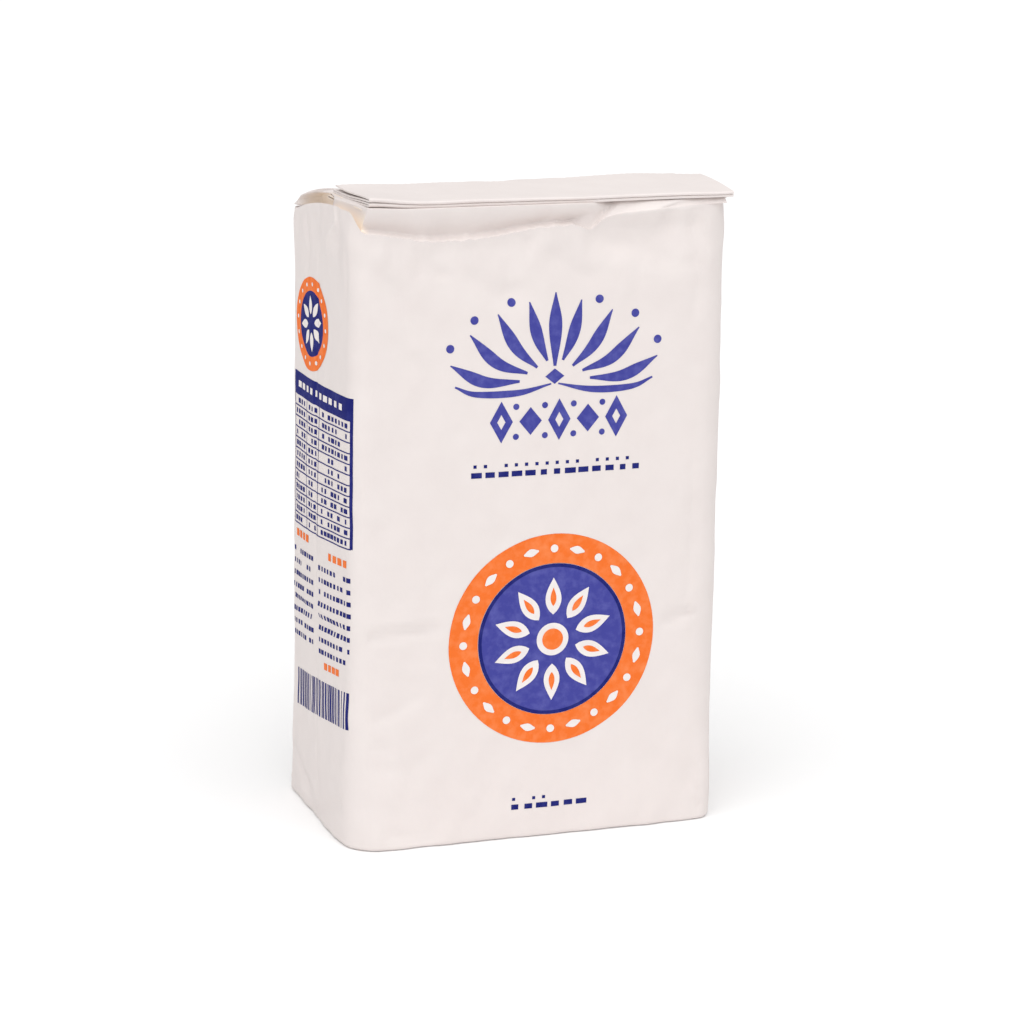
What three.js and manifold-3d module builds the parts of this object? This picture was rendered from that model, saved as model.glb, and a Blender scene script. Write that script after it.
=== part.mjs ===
// A one-kilogram paper bag of flour, shut and standing on its block bottom.
// One tube of white paper is wrapped round the flour. Above the flour its side gussets are tucked in
// under a low gabled roof, and the fin along the ridge is folded over and over into a flat strip
// that lies on the front half of the roof. Being one sheet of paper, it is one solid.
// Millimetres. +Z is up, the printed front faces -Y, and the origin is under the middle of the base.
import * as THREE from "three";
import { mergeVertices } from "three/addons/utils/BufferGeometryUtils.js";
import Module from "manifold-3d";

const { lerp, smoothstep, degToRad } = THREE.MathUtils;

// The filled body: nearly a straight block of flour, a little wider at half height.
const HALF_WIDTH = 53.7;
const HALF_DEPTH = 30.9;
const SWELL = 0.3;
const FOOT_RADIUS = 1.4;
const BASE_LEAN = -0.7;

// How far each panel bulges between its creases, at half height.
const PANEL_BULGE = { front: 1, right: 1.1, back: 1, left: 1.1 };

// Radii of the four upright corners in plan, at the base and from RADIUS_BLEND_HEIGHT up.
const CORNER_RADII = {
  base: { frontLeft: 11, frontRight: 4.5, backRight: 5, backLeft: 4.5 },
  body: { frontLeft: 5.5, frontRight: 10, backRight: 8, backLeft: 6.5 },
};
const RADIUS_BLEND_HEIGHT = 40;

// The rim is the line where the body ends and the folded head begins: [share of the panel, height].
// It dips along the front, where the head presses on the flour, and is high at the front's right end.
const RIM = {
  front: [
    [0, 170.1],
    [0.2, 167.6],
    [0.36, 168.4],
    [0.5, 170.3],
    [0.6, 171],
    [0.655, 168.7],
    [0.7, 172.5],
    [0.78, 173.6],
    [1, 174.9],
  ],
  right: [
    [0, 174.7],
    [1, 171.3],
  ],
  back: [
    [0, 171.3],
    [0.5, 172.1],
    [0.85, 171],
    [1, 169.2],
  ],
  left: [
    [0, 169.1],
    [0.12, 170.8],
    [0.5, 174.1],
    [0.75, 175.2],
    [1, 175.5],
  ],
};
const RIM_CORNER_FALL = { from: 0.1, to: 0.8 };

// Along the front the head overhangs a pinched crease, up to OVERHANG_END of the width. Beyond it the
// top edge of the front panel is a plain fold.
const OVERHANG_END = 0.66;
const OVERHANG_FADE = 0.05;
const PINCH_DEPTH = 2.3;
const PINCH_HEIGHT = 3.4;
const FOLD_INSET = 0.4;

// The roof: how far its four corners reach sideways, and its slopes up to the ridge. A run is how far
// the front slope has come in from the rim, [share of the way to the ridge, distance]; a negative
// distance hangs over the crease.
const ROOF_CORNER_X = { frontLeft: -50.8, frontRight: 52.6, backRight: 55, backLeft: -55 };
const CORNER_SHARE = 0.16;
const ROOF_END = { left: -48.6, right: 50.4 };
const OVERHANG_RUN = [
  [0, 0],
  [0.12, -2.1],
  [0.26, -2.2],
  [0.42, 0.4],
  [1, 28],
];
const PLAIN_RUN = [
  [0, 0],
  [0.12, 1.5],
  [0.42, 8],
  [1, 28],
];
const OVERHANG_CLIMB = { from: -0.05, to: 0.38 };
const PLAIN_CLIMB = { from: 0, to: 0.16 };
const UNDER_STRIP = { from: 0.42, to: 0.5, height: 175.8, bedHeight: 176.7 };
const RIDGE_Y = -1.1;
const RIDGE_HALF_GAP = 1.9;
const RIDGE_HEIGHT = { front: 176.9, back: 177.1 };
const BACK_ROOF_CROWN = { middle: 1.2, end: 1.6 };
const CROWN_FADE = 0.2;
const EAR_DROOP = { left: 1.2, right: 0 };
const EAR_SHARE = 0.3;

// The gussets are tucked in under the roof's ends: behind the sides' rims lies a shallow groove, and a
// recess runs in under the back roof, which is FOLD_THICKNESS thick there.
const GABLE_CORNER_SHARE = 0.04;
const BACK_EAR_SHARE = 0.12;
const GABLE_X = { left: { back: -52.6, front: -50.6 }, right: { back: 52.6, front: 51.6 } };
const GROOVE_RISE = { left: 2.3, right: 0 };
const GROOVE_FADE = 0.5;
const FOLD_THICKNESS = 0.9;
const RECESS = {
  from: 0.2,
  to: 0.7,
  steps: 5,
  frontY: -2.4,
  frontHeight: 175.2,
  floorHeight: 172,
  depth: 7,
  outside: 8,
};

// The folded strip on the roof, and how its section is folded.
const STRIP = { left: -49.2, right: 53.3, front: -29.2, back: 1.4, bottom: 176.1, thickness: 2.05 };
const STRIP_SKEW = 0.6;
const STRIP_FRONT_LIFT = [
  [0, 0.1],
  [0.4, -0.1],
  [1, 0.15],
];
const STRIP_BACK_LIFT = [
  [0, 0.6],
  [0.5, 0.7],
  [0.8, 1.7],
  [1, 1.2],
];
const STRIP_THIN_END = 0.85;
const ROUNDED_END = { cut: 1.6, from: 0.93, back: 0.75 };
const LIP = { thickness: 0.95, setback: 0.4, gap: 0.1, gapDepth: 2.2, rounding: 0.4 };
const LOOSE_END = { step: 0.3, setback: 1.9 };

// Creases pressed into the walls: a band all round at a third of the height, and the slanting folds
// of the block bottom on the two sides.
const BAND = { height: 57.8, depth: 0.45, halfWidth: 3.5, wave: 1.6, waveLength: 34 };
const BOTTOM_FOLD = { height: 15, depth: 0.9, halfWidth: 4 };

// How finely the sheet is divided.
const PANEL_STEPS = 16;
const CORNER_STEPS = 3;
const SIDE_STEPS = 10;
const FOOT_STEPS = 3;
const WALL_HEIGHTS = [5, 10, 16, 24, 33, 43, 50, 54, 57.5, 61, 65, 74, 86, 98, 110, 122, 132, 142];
const UPPER_WALL_SHARES = [0.3, 0.55, 0.75, 0.88, 0.95, 1];
const ROOF_SHARES = [0.05, 0.1, 0.16, 0.23, 0.31, 0.42, 0.5, 0.58, 0.7, 0.85, 1];
const STRIP_STEPS = 16;
const CURVE_STEPS = 5;
const MERGE_DISTANCE = 1e-4;
const SLIVER = 0.02;

const PAPER = { color: 0xf1ebe8, roughness: 0.72 };

/** The value at t on a line through [t, value] knots, levelling out at each knot. */
function knotValue(knots, t) {
  const after = knots.findIndex(([at]) => at >= t);
  if (after === 0) return knots[0][1];
  if (after < 0) return knots.at(-1)[1];
  const [[t0, v0], [t1, v1]] = [knots[after - 1], knots[after]];
  return lerp(v0, v1, smoothstep(t, t0, t1));
}

/** The sheet's columns, anticlockwise from the front's left end: each a share of a panel or corner. */
function makeColumns() {
  const panel = (name, steps) => Array.from({ length: steps + 1 }, (_, i) => ({ name, share: i / steps }));
  const corner = (name) => panel(name, CORNER_STEPS).slice(1, -1);
  return [
    ...panel("front", PANEL_STEPS),
    ...corner("frontRight"),
    ...panel("right", SIDE_STEPS),
    ...corner("backRight"),
    ...panel("back", PANEL_STEPS),
    ...corner("backLeft"),
    ...panel("left", SIDE_STEPS),
    ...corner("frontLeft"),
  ];
}

/** Whether a column belongs to the front or back panel, whose paper becomes the roof. */
function isRoof({ name }) {
  return name === "front" || name === "back";
}

const COLUMNS = makeColumns();
const NEIGHBOURS = {
  frontRight: ["front", "right"],
  backRight: ["right", "back"],
  backLeft: ["back", "left"],
  frontLeft: ["left", "front"],
};

/** Height of the rim above a column: panels by their knots, corners between the panels they join. */
function rimHeight({ name, share }) {
  if (RIM[name]) return knotValue(RIM[name], share);
  const [before, after] = NEIGHBOURS[name];
  const fallen = smoothstep(share, RIM_CORNER_FALL.from, RIM_CORNER_FALL.to);
  return lerp(RIM[before].at(-1)[1], RIM[after][0][1], fallen);
}

/** Plan position and outward direction of a column on a round-cornered rectangle. */
function planPoint({ name, share }, halfWidth, halfDepth, radii) {
  const corner = (cx, cy, radius, startAngle) => {
    const angle = degToRad(startAngle + 90 * share);
    const out = [Math.cos(angle), Math.sin(angle)];
    return { x: cx + radius * out[0], y: cy + radius * out[1], out };
  };
  const { frontLeft, frontRight, backRight, backLeft } = radii;
  const [w, d] = [halfWidth, halfDepth];
  const places = {
    front: () => ({ x: lerp(-w + frontLeft, w - frontRight, share), y: -d, out: [0, -1] }),
    frontRight: () => corner(w - frontRight, -d + frontRight, frontRight, -90),
    right: () => ({ x: w, y: lerp(-d + frontRight, d - backRight, share), out: [1, 0] }),
    backRight: () => corner(w - backRight, d - backRight, backRight, 0),
    back: () => ({ x: lerp(w - backRight, -w + backLeft, share), y: d, out: [0, 1] }),
    backLeft: () => corner(-w + backLeft, d - backLeft, backLeft, 90),
    left: () => ({ x: -w, y: lerp(d - backLeft, -d + frontLeft, share), out: [-1, 0] }),
    frontLeft: () => corner(-w + frontLeft, -d + frontLeft, frontLeft, 180),
  };
  return places[name]();
}

/** Corner radii at a height: the base's at the foot, blending to the body's above it. */
function radiiAt(z) {
  const share = smoothstep(z, 0, RADIUS_BLEND_HEIGHT);
  const mixed = Object.entries(CORNER_RADII.base).map(([corner, radius]) => [
    corner,
    lerp(radius, CORNER_RADII.body[corner], share),
  ]);
  return Object.fromEntries(mixed);
}

/** How much of the overhang there is above a column: 1 along the front's left, 0 past its end. */
function overhang({ name, share }) {
  if (name === "frontLeft") return smoothstep(share, CORNER_SHARE, 1);
  if (name !== "front") return 0;
  return 1 - smoothstep(share, OVERHANG_END - OVERHANG_FADE, OVERHANG_END + OVERHANG_FADE);
}

/** How deep a crease is at a distance from its middle, from 1 there to 0 at its edge. */
function creaseShape(distance, halfWidth) {
  return Math.max(0, 1 - Math.abs(distance) / halfWidth);
}

/** Creases of the wall, as a distance inwards at a column and place. */
function creaseDepth({ name, share }, { x, y }, z) {
  const fromMiddle = Math.abs(share - 0.5) * 2;
  const bandHeight = BAND.height + BAND.wave * Math.sin((2 * x + y) / BAND.waveLength);
  const bandShare = name === "front" ? fromMiddle : 1;
  const band = BAND.depth * bandShare * creaseShape(z - bandHeight, BAND.halfWidth);
  if (name !== "left" && name !== "right") return band;
  const fold = creaseShape(z - BOTTOM_FOLD.height * fromMiddle, BOTTOM_FOLD.halfWidth);
  return band + BOTTOM_FOLD.depth * fold;
}

/** How far the bag leans sideways at a height: the base stands a little to the left of the body. */
function leanAt(z) {
  return BASE_LEAN * (1 - smoothstep(z, 0, RADIUS_BLEND_HEIGHT));
}

/** One ring of the wall. The height is a function of the rim's, so that the top ring is the rim. */
function wallRing(heightAt, inset = 0) {
  return COLUMNS.map((column) => {
    const rim = rimHeight(column);
    const z = heightAt(rim);
    const swell = Math.sin((Math.PI * z) / rim);
    const point = planPoint(column, HALF_WIDTH + SWELL * swell, HALF_DEPTH + SWELL * swell, radiiAt(z));
    const bulge = (PANEL_BULGE[column.name] ?? 0) * Math.sin(Math.PI * column.share) * swell;
    const nearRim = Math.max(0, 1 - (rim - z) / PINCH_HEIGHT);
    const pinch = lerp(FOLD_INSET, PINCH_DEPTH, overhang(column)) * nearRim ** 2;
    const out = bulge - pinch - inset - creaseDepth(column, point, z);
    return new THREE.Vector3(leanAt(z) + point.x + point.out[0] * out, point.y + point.out[1] * out, z);
  });
}

/** The rounded foot, as rings from the flat base up to the wall. */
function footRings() {
  return Array.from({ length: FOOT_STEPS }, (_, i) => {
    const angle = (i / FOOT_STEPS) * (Math.PI / 2);
    return wallRing(() => FOOT_RADIUS * (1 - Math.cos(angle)), FOOT_RADIUS * (1 - Math.sin(angle)));
  });
}

/** How far the strip, and the ridge that it grows from, ride up at a share of the width. */
function ridgeLift(across) {
  return knotValue(STRIP_BACK_LIFT, across);
}

/** The front roof, w of the way from its rim point to the ridge. Its top half is the strip's bed. */
function frontRoof(column, w, rimPoint) {
  const wave = overhang(column);
  const run = lerp(knotValue(PLAIN_RUN, w), knotValue(OVERHANG_RUN, w), wave);
  const plainClimb = smoothstep(w, PLAIN_CLIMB.from, PLAIN_CLIMB.to);
  const climb = lerp(plainClimb, smoothstep(w, OVERHANG_CLIMB.from, OVERHANG_CLIMB.to), wave);
  const inward = smoothstep(w, UNDER_STRIP.from, 1);
  const sunk = smoothstep(w, UNDER_STRIP.from, UNDER_STRIP.to);
  const bed = lerp(UNDER_STRIP.height, UNDER_STRIP.bedHeight, sunk);
  const top = lerp(bed, RIDGE_HEIGHT.front + ridgeLift(column.share), inward);
  const y = lerp(rimPoint.y + run, RIDGE_Y - RIDGE_HALF_GAP, inward);
  return { y, z: lerp(rimPoint.z, top, climb) };
}

/** The back roof: a crowned slope from the back rim up to the ridge, drooping at its two ears. */
function backRoof({ share }, w, rimPoint) {
  const middle = smoothstep(Math.min(share, 1 - share), 0, CROWN_FADE);
  const crown = lerp(BACK_ROOF_CROWN.end, BACK_ROOF_CROWN.middle, middle) * Math.sin(Math.PI * w);
  const earDroop = share < 0.5 ? EAR_DROOP.right : EAR_DROOP.left;
  const droop = earDroop * (1 - middle) * Math.sin(Math.PI * Math.min(1, w / EAR_SHARE));
  const z = lerp(rimPoint.z, RIDGE_HEIGHT.back + ridgeLift(1 - share), w) + crown - droop;
  return { y: lerp(rimPoint.y, RIDGE_Y + RIDGE_HALF_GAP, w), z };
}

/** A point of either roof, w of the way up, for a column of the front or back panel. */
function roofPoint(column, rimPoint, w) {
  const { name, share } = column;
  const across = name === "front" ? share : 1 - share;
  const left = lerp(ROOF_CORNER_X[`${name}Left`], ROOF_END.left, w);
  const right = lerp(ROOF_CORNER_X[`${name}Right`], ROOF_END.right, w);
  const x = lerp(rimPoint.x, lerp(left, right, across), smoothstep(w, 0, CORNER_SHARE));
  const { y, z } = name === "front" ? frontRoof(column, w, rimPoint) : backRoof(column, w, rimPoint);
  return new THREE.Vector3(x, y, z);
}

/** How far round a gable a column stands, from the roof it starts at to the roof it ends at. */
function gableShare({ name, share }) {
  if (name === "left" || name === "right") return lerp(GABLE_CORNER_SHARE, 1 - GABLE_CORNER_SHARE, share);
  const leavesRoof = isRoof({ name: NEIGHBOURS[name][0] });
  return leavesRoof ? GABLE_CORNER_SHARE * share : 1 - GABLE_CORNER_SHARE * (1 - share);
}

/** A point of a gable: on the line between the roofs' ends, raised at first to be the groove's floor. */
function gablePoint(column, edges, w) {
  const isLeft = column.name === "left" || column.name.endsWith("Left");
  const [start, end] = isLeft ? [edges.backLeft, edges.frontLeft] : [edges.frontRight, edges.backRight];
  const share = gableShare(column);
  const point = start.clone().lerp(end, share);
  const side = isLeft ? "left" : "right";
  const fromBack = isLeft ? share : 1 - share;
  const foot = lerp(GABLE_X[side].back, GABLE_X[side].front, fromBack);
  const rise = GROOVE_RISE[side] * (1 - smoothstep(w, 0, GROOVE_FADE));
  point.x = lerp(point.x, lerp(foot, ROOF_END[side], w), smoothstep(fromBack, 0, BACK_EAR_SHARE));
  point.z += rise * Math.sin(Math.PI * share) ** 2;
  return point;
}

/** One ring of the head, w of the way from the rim to the ridge: two roofs and the gables between. */
function roofRing(rim, w) {
  const roof = COLUMNS.map((column, i) => (isRoof(column) ? roofPoint(column, rim[i], w) : null));
  const edgeAt = (name, share) => roof[COLUMNS.findIndex((c) => c.name === name && c.share === share)];
  const edges = {
    frontLeft: edgeAt("front", 0),
    frontRight: edgeAt("front", 1),
    backRight: edgeAt("back", 0),
    backLeft: edgeAt("back", 1),
  };
  return COLUMNS.map((column, i) => roof[i] ?? gablePoint(column, edges, w));
}

/** A closed skin over rings of equal count: a fan under the first, the last zipped shut at the ridge. */
function skin(rings) {
  const count = rings[0].length;
  const points = [...rings.flat(), new THREE.Vector3(0, 0, rings[0][0].z)];
  const foot = points.length - 1;
  const faces = [];
  rings.slice(1).forEach((_, level) => {
    for (let i = 0; i < count; i++) {
      const [a, b] = [level * count + i, level * count + ((i + 1) % count)];
      faces.push(a, b, b + count, a, b + count, a + count);
    }
  });
  for (let i = 0; i < count; i++) faces.push(foot, (i + 1) % count, i);
  const top = (rings.length - 1) * count;
  const middle = COLUMNS.findIndex((c) => c.name === "right" && c.share === 0.5);
  const pair = (step) => [top + ((middle - step + count) % count), top + ((middle + step) % count)];
  for (let step = 0; step < count / 2; step++) {
    const [f0, b0] = pair(step);
    const [f1, b1] = pair(step + 1);
    if (f0 !== b0) faces.push(f0, b0, b1);
    if (f1 !== b1) faces.push(f0, b1, f1);
  }
  const geometry = new THREE.BufferGeometry().setFromPoints(points);
  geometry.setIndex(faces);
  return geometry;
}

/** The body and its folded head, as one closed skin. */
function bodyGeometry() {
  const wall = [
    ...footRings(),
    wallRing(() => FOOT_RADIUS),
    ...WALL_HEIGHTS.map((z) => wallRing(() => z)),
    ...UPPER_WALL_SHARES.map((share) => wallRing((rim) => lerp(WALL_HEIGHTS.at(-1), rim, share))),
  ];
  const rim = wall.at(-1);
  return skin([...wall, ...ROOF_SHARES.map((w) => roofRing(rim, w))]);
}

/** The recess under the back roof at one end: a closed prism that runs out past the gable. */
function recessGeometry(side) {
  const column = { name: "back", share: side === "right" ? 0 : 1 };
  const rim = new THREE.Vector3(0, HALF_DEPTH, rimHeight(column));
  const underside = Array.from({ length: RECESS.steps + 1 }, (_, i) => {
    const { y, z } = backRoof(column, lerp(RECESS.from, RECESS.to, i / RECESS.steps), rim);
    return new THREE.Vector2(y, z - FOLD_THICKNESS);
  });
  const frontTop = new THREE.Vector2(RECESS.frontY, RECESS.frontHeight);
  const frontFoot = new THREE.Vector2(RECESS.frontY, RECESS.floorHeight);
  const section = new THREE.Shape([...underside, frontTop, frontFoot]);
  const geometry = new THREE.ExtrudeGeometry(section, {
    depth: RECESS.depth + RECESS.outside,
    steps: 1,
    bevelEnabled: false,
  });
  const end = ROOF_END[side];
  const position = geometry.getAttribute("position");
  for (let i = 0; i < position.count; i++) {
    const [y, z, along] = [position.getX(i), position.getY(i), position.getZ(i)];
    const x = side === "right" ? end - RECESS.depth + along : end - RECESS.outside + along;
    position.setXYZ(i, x, y, z);
  }
  return geometry;
}

/** Section of the folded strip, front to the right: two lips in front, and the loose end a step up on top. */
function stripSection() {
  const front = STRIP.back - STRIP.front;
  const top = STRIP.thickness;
  const gapHeight = top - LIP.thickness;
  const lowerFront = front - LIP.setback;
  const loopRadius = (top - LOOSE_END.step) / 2;
  const stepAt = loopRadius + LOOSE_END.setback;
  const section = new THREE.Shape();
  section.moveTo(loopRadius, 0);
  section.lineTo(lowerFront - LIP.rounding, 0);
  section.quadraticCurveTo(lowerFront, 0, lowerFront, gapHeight / 2);
  section.quadraticCurveTo(lowerFront, gapHeight - LIP.gap, lowerFront - LIP.rounding, gapHeight - LIP.gap);
  section.lineTo(front - LIP.gapDepth, gapHeight);
  section.lineTo(front - LIP.rounding, top - 2 * LIP.rounding);
  section.absarc(front - LIP.rounding, top - LIP.rounding, LIP.rounding, -Math.PI / 2, Math.PI / 2);
  section.lineTo(stepAt, top);
  section.lineTo(stepAt, top - LOOSE_END.step);
  section.lineTo(loopRadius, top - LOOSE_END.step);
  section.absarc(loopRadius, loopRadius, loopRadius, Math.PI / 2, 1.5 * Math.PI);
  return section;
}

/** The strip: its section drawn along the ridge, thinner to the right, riding up at the back. */
function stripGeometry() {
  const length = STRIP.right - STRIP.left;
  const geometry = new THREE.ExtrudeGeometry(stripSection(), {
    depth: length,
    steps: STRIP_STEPS,
    bevelEnabled: false,
    curveSegments: CURVE_STEPS,
  });
  const position = geometry.getAttribute("position");
  for (let i = 0; i < position.count; i++) {
    const along = 1 - position.getZ(i) / length;
    const forward = position.getX(i) / (STRIP.back - STRIP.front);
    const rounded = smoothstep(along, ROUNDED_END.from, 1) * smoothstep(1 - forward, ROUNDED_END.back, 1);
    const x = STRIP.left + along * length + STRIP_SKEW * (1 - forward);
    const y = lerp(STRIP.back, STRIP.front, forward) - ROUNDED_END.cut * rounded;
    const lift = lerp(knotValue(STRIP_BACK_LIFT, along), knotValue(STRIP_FRONT_LIFT, along), forward);
    const z = STRIP.bottom + position.getY(i) * lerp(1, STRIP_THIN_END, along) + lift;
    position.setXYZ(i, x, y, z);
  }
  return geometry;
}

const wasm = await Module();
wasm.setup();

/** A closed geometry as a solid that can be joined. */
function toSolid(geometry) {
  const bare = new THREE.BufferGeometry().setAttribute("position", geometry.getAttribute("position"));
  if (geometry.index) bare.setIndex(geometry.index);
  const merged = mergeVertices(bare, MERGE_DISTANCE);
  return new wasm.Manifold(
    new wasm.Mesh({
      numProp: 3,
      vertProperties: merged.getAttribute("position").array,
      triVerts: new Uint32Array(merged.index.array),
    }),
  );
}

/** A solid's surface as a geometry. */
function fromSolid(solid) {
  const { vertProperties, triVerts } = solid.getMesh();
  const geometry = new THREE.BufferGeometry();
  geometry.setAttribute("position", new THREE.BufferAttribute(vertProperties, 3));
  geometry.setIndex(new THREE.BufferAttribute(triVerts, 1));
  geometry.computeVertexNormals();
  return geometry;
}

const bag = new THREE.Group();
const paper = new THREE.MeshStandardMaterial(PAPER);
const head = toSolid(bodyGeometry()).add(toSolid(stripGeometry()));
const tucked = head.subtract(toSolid(recessGeometry("left"))).subtract(toSolid(recessGeometry("right")));
const solid = tucked.simplify(SLIVER);
const flourBag = new THREE.Mesh(fromSolid(solid), paper);
flourBag.name = "flour_bag";
bag.add(flourBag);

export default bag;
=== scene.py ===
"""A shut one-kilogram paper bag of flour, standing on its block bottom.

One tube of bleached kraft paper is wrapped round the flour. Its side gussets are tucked in under a
low gabled roof, and the fin along the ridge is folded over and over into a flat strip. Sizes are in
millimetres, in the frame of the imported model: +Z up, the printed front faces -Y.
"""

from __future__ import annotations

import logging
import math
from collections.abc import Callable, Mapping, Sequence
from dataclasses import dataclass, field
from enum import Enum

import bpy
import numpy as np
from bpy.types import Material, Mesh, Node, NodeSocket, NodeTree, Object
from mathutils import Matrix, Vector

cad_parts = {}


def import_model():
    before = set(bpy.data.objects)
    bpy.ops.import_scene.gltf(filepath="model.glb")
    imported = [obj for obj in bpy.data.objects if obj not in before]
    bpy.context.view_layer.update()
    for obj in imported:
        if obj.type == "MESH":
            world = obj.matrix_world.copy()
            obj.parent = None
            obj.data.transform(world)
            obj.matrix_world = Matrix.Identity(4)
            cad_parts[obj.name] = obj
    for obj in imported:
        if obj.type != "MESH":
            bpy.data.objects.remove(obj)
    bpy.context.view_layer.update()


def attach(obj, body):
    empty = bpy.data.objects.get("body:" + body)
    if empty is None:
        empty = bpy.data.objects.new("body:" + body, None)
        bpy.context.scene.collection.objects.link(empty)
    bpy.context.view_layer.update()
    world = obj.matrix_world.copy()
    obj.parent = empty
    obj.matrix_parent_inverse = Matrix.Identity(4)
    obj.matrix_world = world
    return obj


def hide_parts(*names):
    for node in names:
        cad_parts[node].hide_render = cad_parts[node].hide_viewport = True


LOG = logging.getLogger("flour_bag")

MM = 0.001
NODE = "flour_bag"
BODY = "root"
# The point attribute that mixes painted warm bounce light into the paper's colour.
PAINTED_GLOW = "gusset"
LIFT = "lift"

SHARP_ANGLE = math.radians(50)
NOISE_ROUGHNESS = 0.55
RAY_LENGTH = 1.0

Array = np.ndarray
Spot = tuple[float, float]
Span = tuple[float, float]
Window = tuple[Span, Span]
Knots = Sequence[Spot]
Colour = tuple[float, float, float, float]


def lerp(start: float, end: float, share: Array) -> Array:
    """Returns the value at a share of the way from start to end."""
    return start + (end - start) * share


def smoothstep(value: Array, low: float, high: float) -> Array:
    """Returns 0 below low, 1 above high and an S-curve between them."""
    share = np.clip((np.asarray(value, float) - low) / (high - low), 0.0, 1.0)
    return share * share * (3 - 2 * share)


def window(value: Array, limits: Window) -> Array:
    """Returns 1 between two spans and 0 outside them, with an S-curve over each span."""
    opens, closes = limits
    return smoothstep(value, *opens) * (1 - smoothstep(value, *closes))


def smooth_line(knots: Knots, at: Array) -> Array:
    """Reads a smooth line through knots that never swings past a knot.

    Args:
        knots: Pairs of place and value, in rising order of place.
        at: The places to read.

    Returns:
        The line's values there; beyond its ends, the value of the end knot.
    """
    place, value = (np.array(part, float) for part in zip(*knots))
    step = np.diff(place)
    slope = np.diff(value) / step
    tangent = np.concatenate([slope[:1], np.zeros(len(slope) - 1), slope[-1:]])
    same_way = slope[:-1] * slope[1:] > 0
    near, far = (2 * step[1:] + step[:-1])[same_way], (step[1:] + 2 * step[:-1])[same_way]
    tangent[1:-1][same_way] = (near + far) / (near / slope[:-1][same_way] + far / slope[1:][same_way])
    at = np.asarray(at, float)
    i = np.clip(np.searchsorted(place, at, side="right") - 1, 0, len(place) - 2)
    s = np.clip((at - place[i]) / step[i], 0.0, 1.0)
    start = (1 + 2 * s) * (1 - s) ** 2 * value[i] + s * (1 - s) ** 2 * step[i] * tangent[i]
    return start + s**2 * (3 - 2 * s) * value[i + 1] + s**2 * (s - 1) * step[i] * tangent[i + 1]


def linear_colour(hex_code: str) -> Colour:
    """Turns an sRGB hex value into a linear colour.

    Args:
        hex_code: Six hex digits, such as "F0E9E6".

    Returns:
        Red, green and blue, linear, and full alpha.
    """
    channels = [int(hex_code[i : i + 2], 16) / 255 for i in (0, 2, 4)]
    linear = [c / 12.92 if c <= 0.04045 else ((c + 0.055) / 1.055) ** 2.4 for c in channels]
    return (linear[0], linear[1], linear[2], 1.0)


def add_node(
    tree: NodeTree,
    kind: str,
    settings: Mapping[str, object],
    inputs: Mapping[str | int, object],
) -> Node:
    """Adds a node with its settings and links.

    Args:
        tree: The node tree.
        kind: The node's type name.
        settings: Properties of the node itself.
        inputs: For each input, by name or number, an output socket to link or a value to set.

    Returns:
        The new node.
    """
    node = tree.nodes.new(kind)
    for name, value in settings.items():
        setattr(node, name, value)
    for key, value in inputs.items():
        if isinstance(value, NodeSocket):
            tree.links.new(value, node.inputs[key])
        else:
            node.inputs[key].default_value = value
    return node


def new_object(name: str, vertices: Array, faces: Sequence[Sequence[int]]) -> Object:
    """Makes a smooth-shaded mesh object at the origin.

    Args:
        name: The object's name.
        vertices: Its corners in millimetres, one row each.
        faces: Corner numbers of each face, anticlockwise seen from outside.

    Returns:
        The object, linked to the scene.
    """
    mesh = bpy.data.meshes.new(name)
    mesh.from_pydata((np.asarray(vertices) * MM).tolist(), [], [list(face) for face in faces])
    mesh.update()
    mesh.shade_smooth()
    made = bpy.data.objects.new(name, mesh)
    bpy.context.scene.collection.objects.link(made)
    return made


def grid_faces(rows: int, columns: int, closed: bool = False) -> list[tuple[int, int, int, int]]:
    """Joins up a grid whose points are numbered row by row.

    Args:
        rows: Number of rows of points.
        columns: Number of points in a row.
        closed: Whether each row closes on itself.

    Returns:
        The point numbers of each face.
    """
    faces = []
    last = columns if closed else columns - 1
    for row in range(rows - 1):
        for column in range(last):
            a, b = row * columns + column, row * columns + (column + 1) % columns
            faces.append((a, b, b + columns, a + columns))
    return faces


def set_attribute(mesh: Mesh, name: str, values: Array) -> None:
    """Stores a number for each of a mesh's points."""
    stored = mesh.attributes.new(name, "FLOAT", "POINT")
    stored.data.foreach_set("value", values.reshape(-1))


def run_modifier(owner: Object, tree: NodeTree, values: Mapping[str, object]) -> None:
    """Runs a Geometry Nodes tree on an object and keeps its result as a plain mesh.

    Args:
        owner: The object, whose mesh is replaced.
        tree: The tree.
        values: A value for each of the tree's named inputs.
    """
    modifier = owner.modifiers.new(tree.name, "NODES")
    modifier.node_group = tree
    for item in tree.interface.items_tree:
        if item.item_type == "SOCKET" and item.in_out == "INPUT" and item.name in values:
            modifier[item.identifier] = values[item.name]
    depsgraph = bpy.context.evaluated_depsgraph_get()
    mesh = bpy.data.meshes.new_from_object(owner.evaluated_get(depsgraph))
    owner.modifiers.remove(modifier)
    owner.data = mesh


def new_material(name: str) -> tuple[Material, NodeTree, Node, NodeSocket]:
    """Starts a material.

    Args:
        name: Its name.

    Returns:
        The material, its tree, its shader and the socket of the place on the object.
    """
    material = bpy.data.materials.new(name)
    material.use_nodes = True
    tree = material.node_tree
    place = add_node(tree, "ShaderNodeTexCoord", {}, {}).outputs["Object"]
    return material, tree, tree.nodes["Principled BSDF"], place


class Panel(Enum):
    """The panels and corners of the tube, anticlockwise from the front's left end."""

    FRONT = 0
    FRONT_RIGHT = 1
    RIGHT = 2
    BACK_RIGHT = 3
    BACK = 4
    BACK_LEFT = 5
    LEFT = 6
    FRONT_LEFT = 7


CORNERS = (Panel.FRONT_RIGHT, Panel.BACK_RIGHT, Panel.BACK_LEFT, Panel.FRONT_LEFT)
ROOFS = (Panel.FRONT, Panel.BACK)


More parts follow.
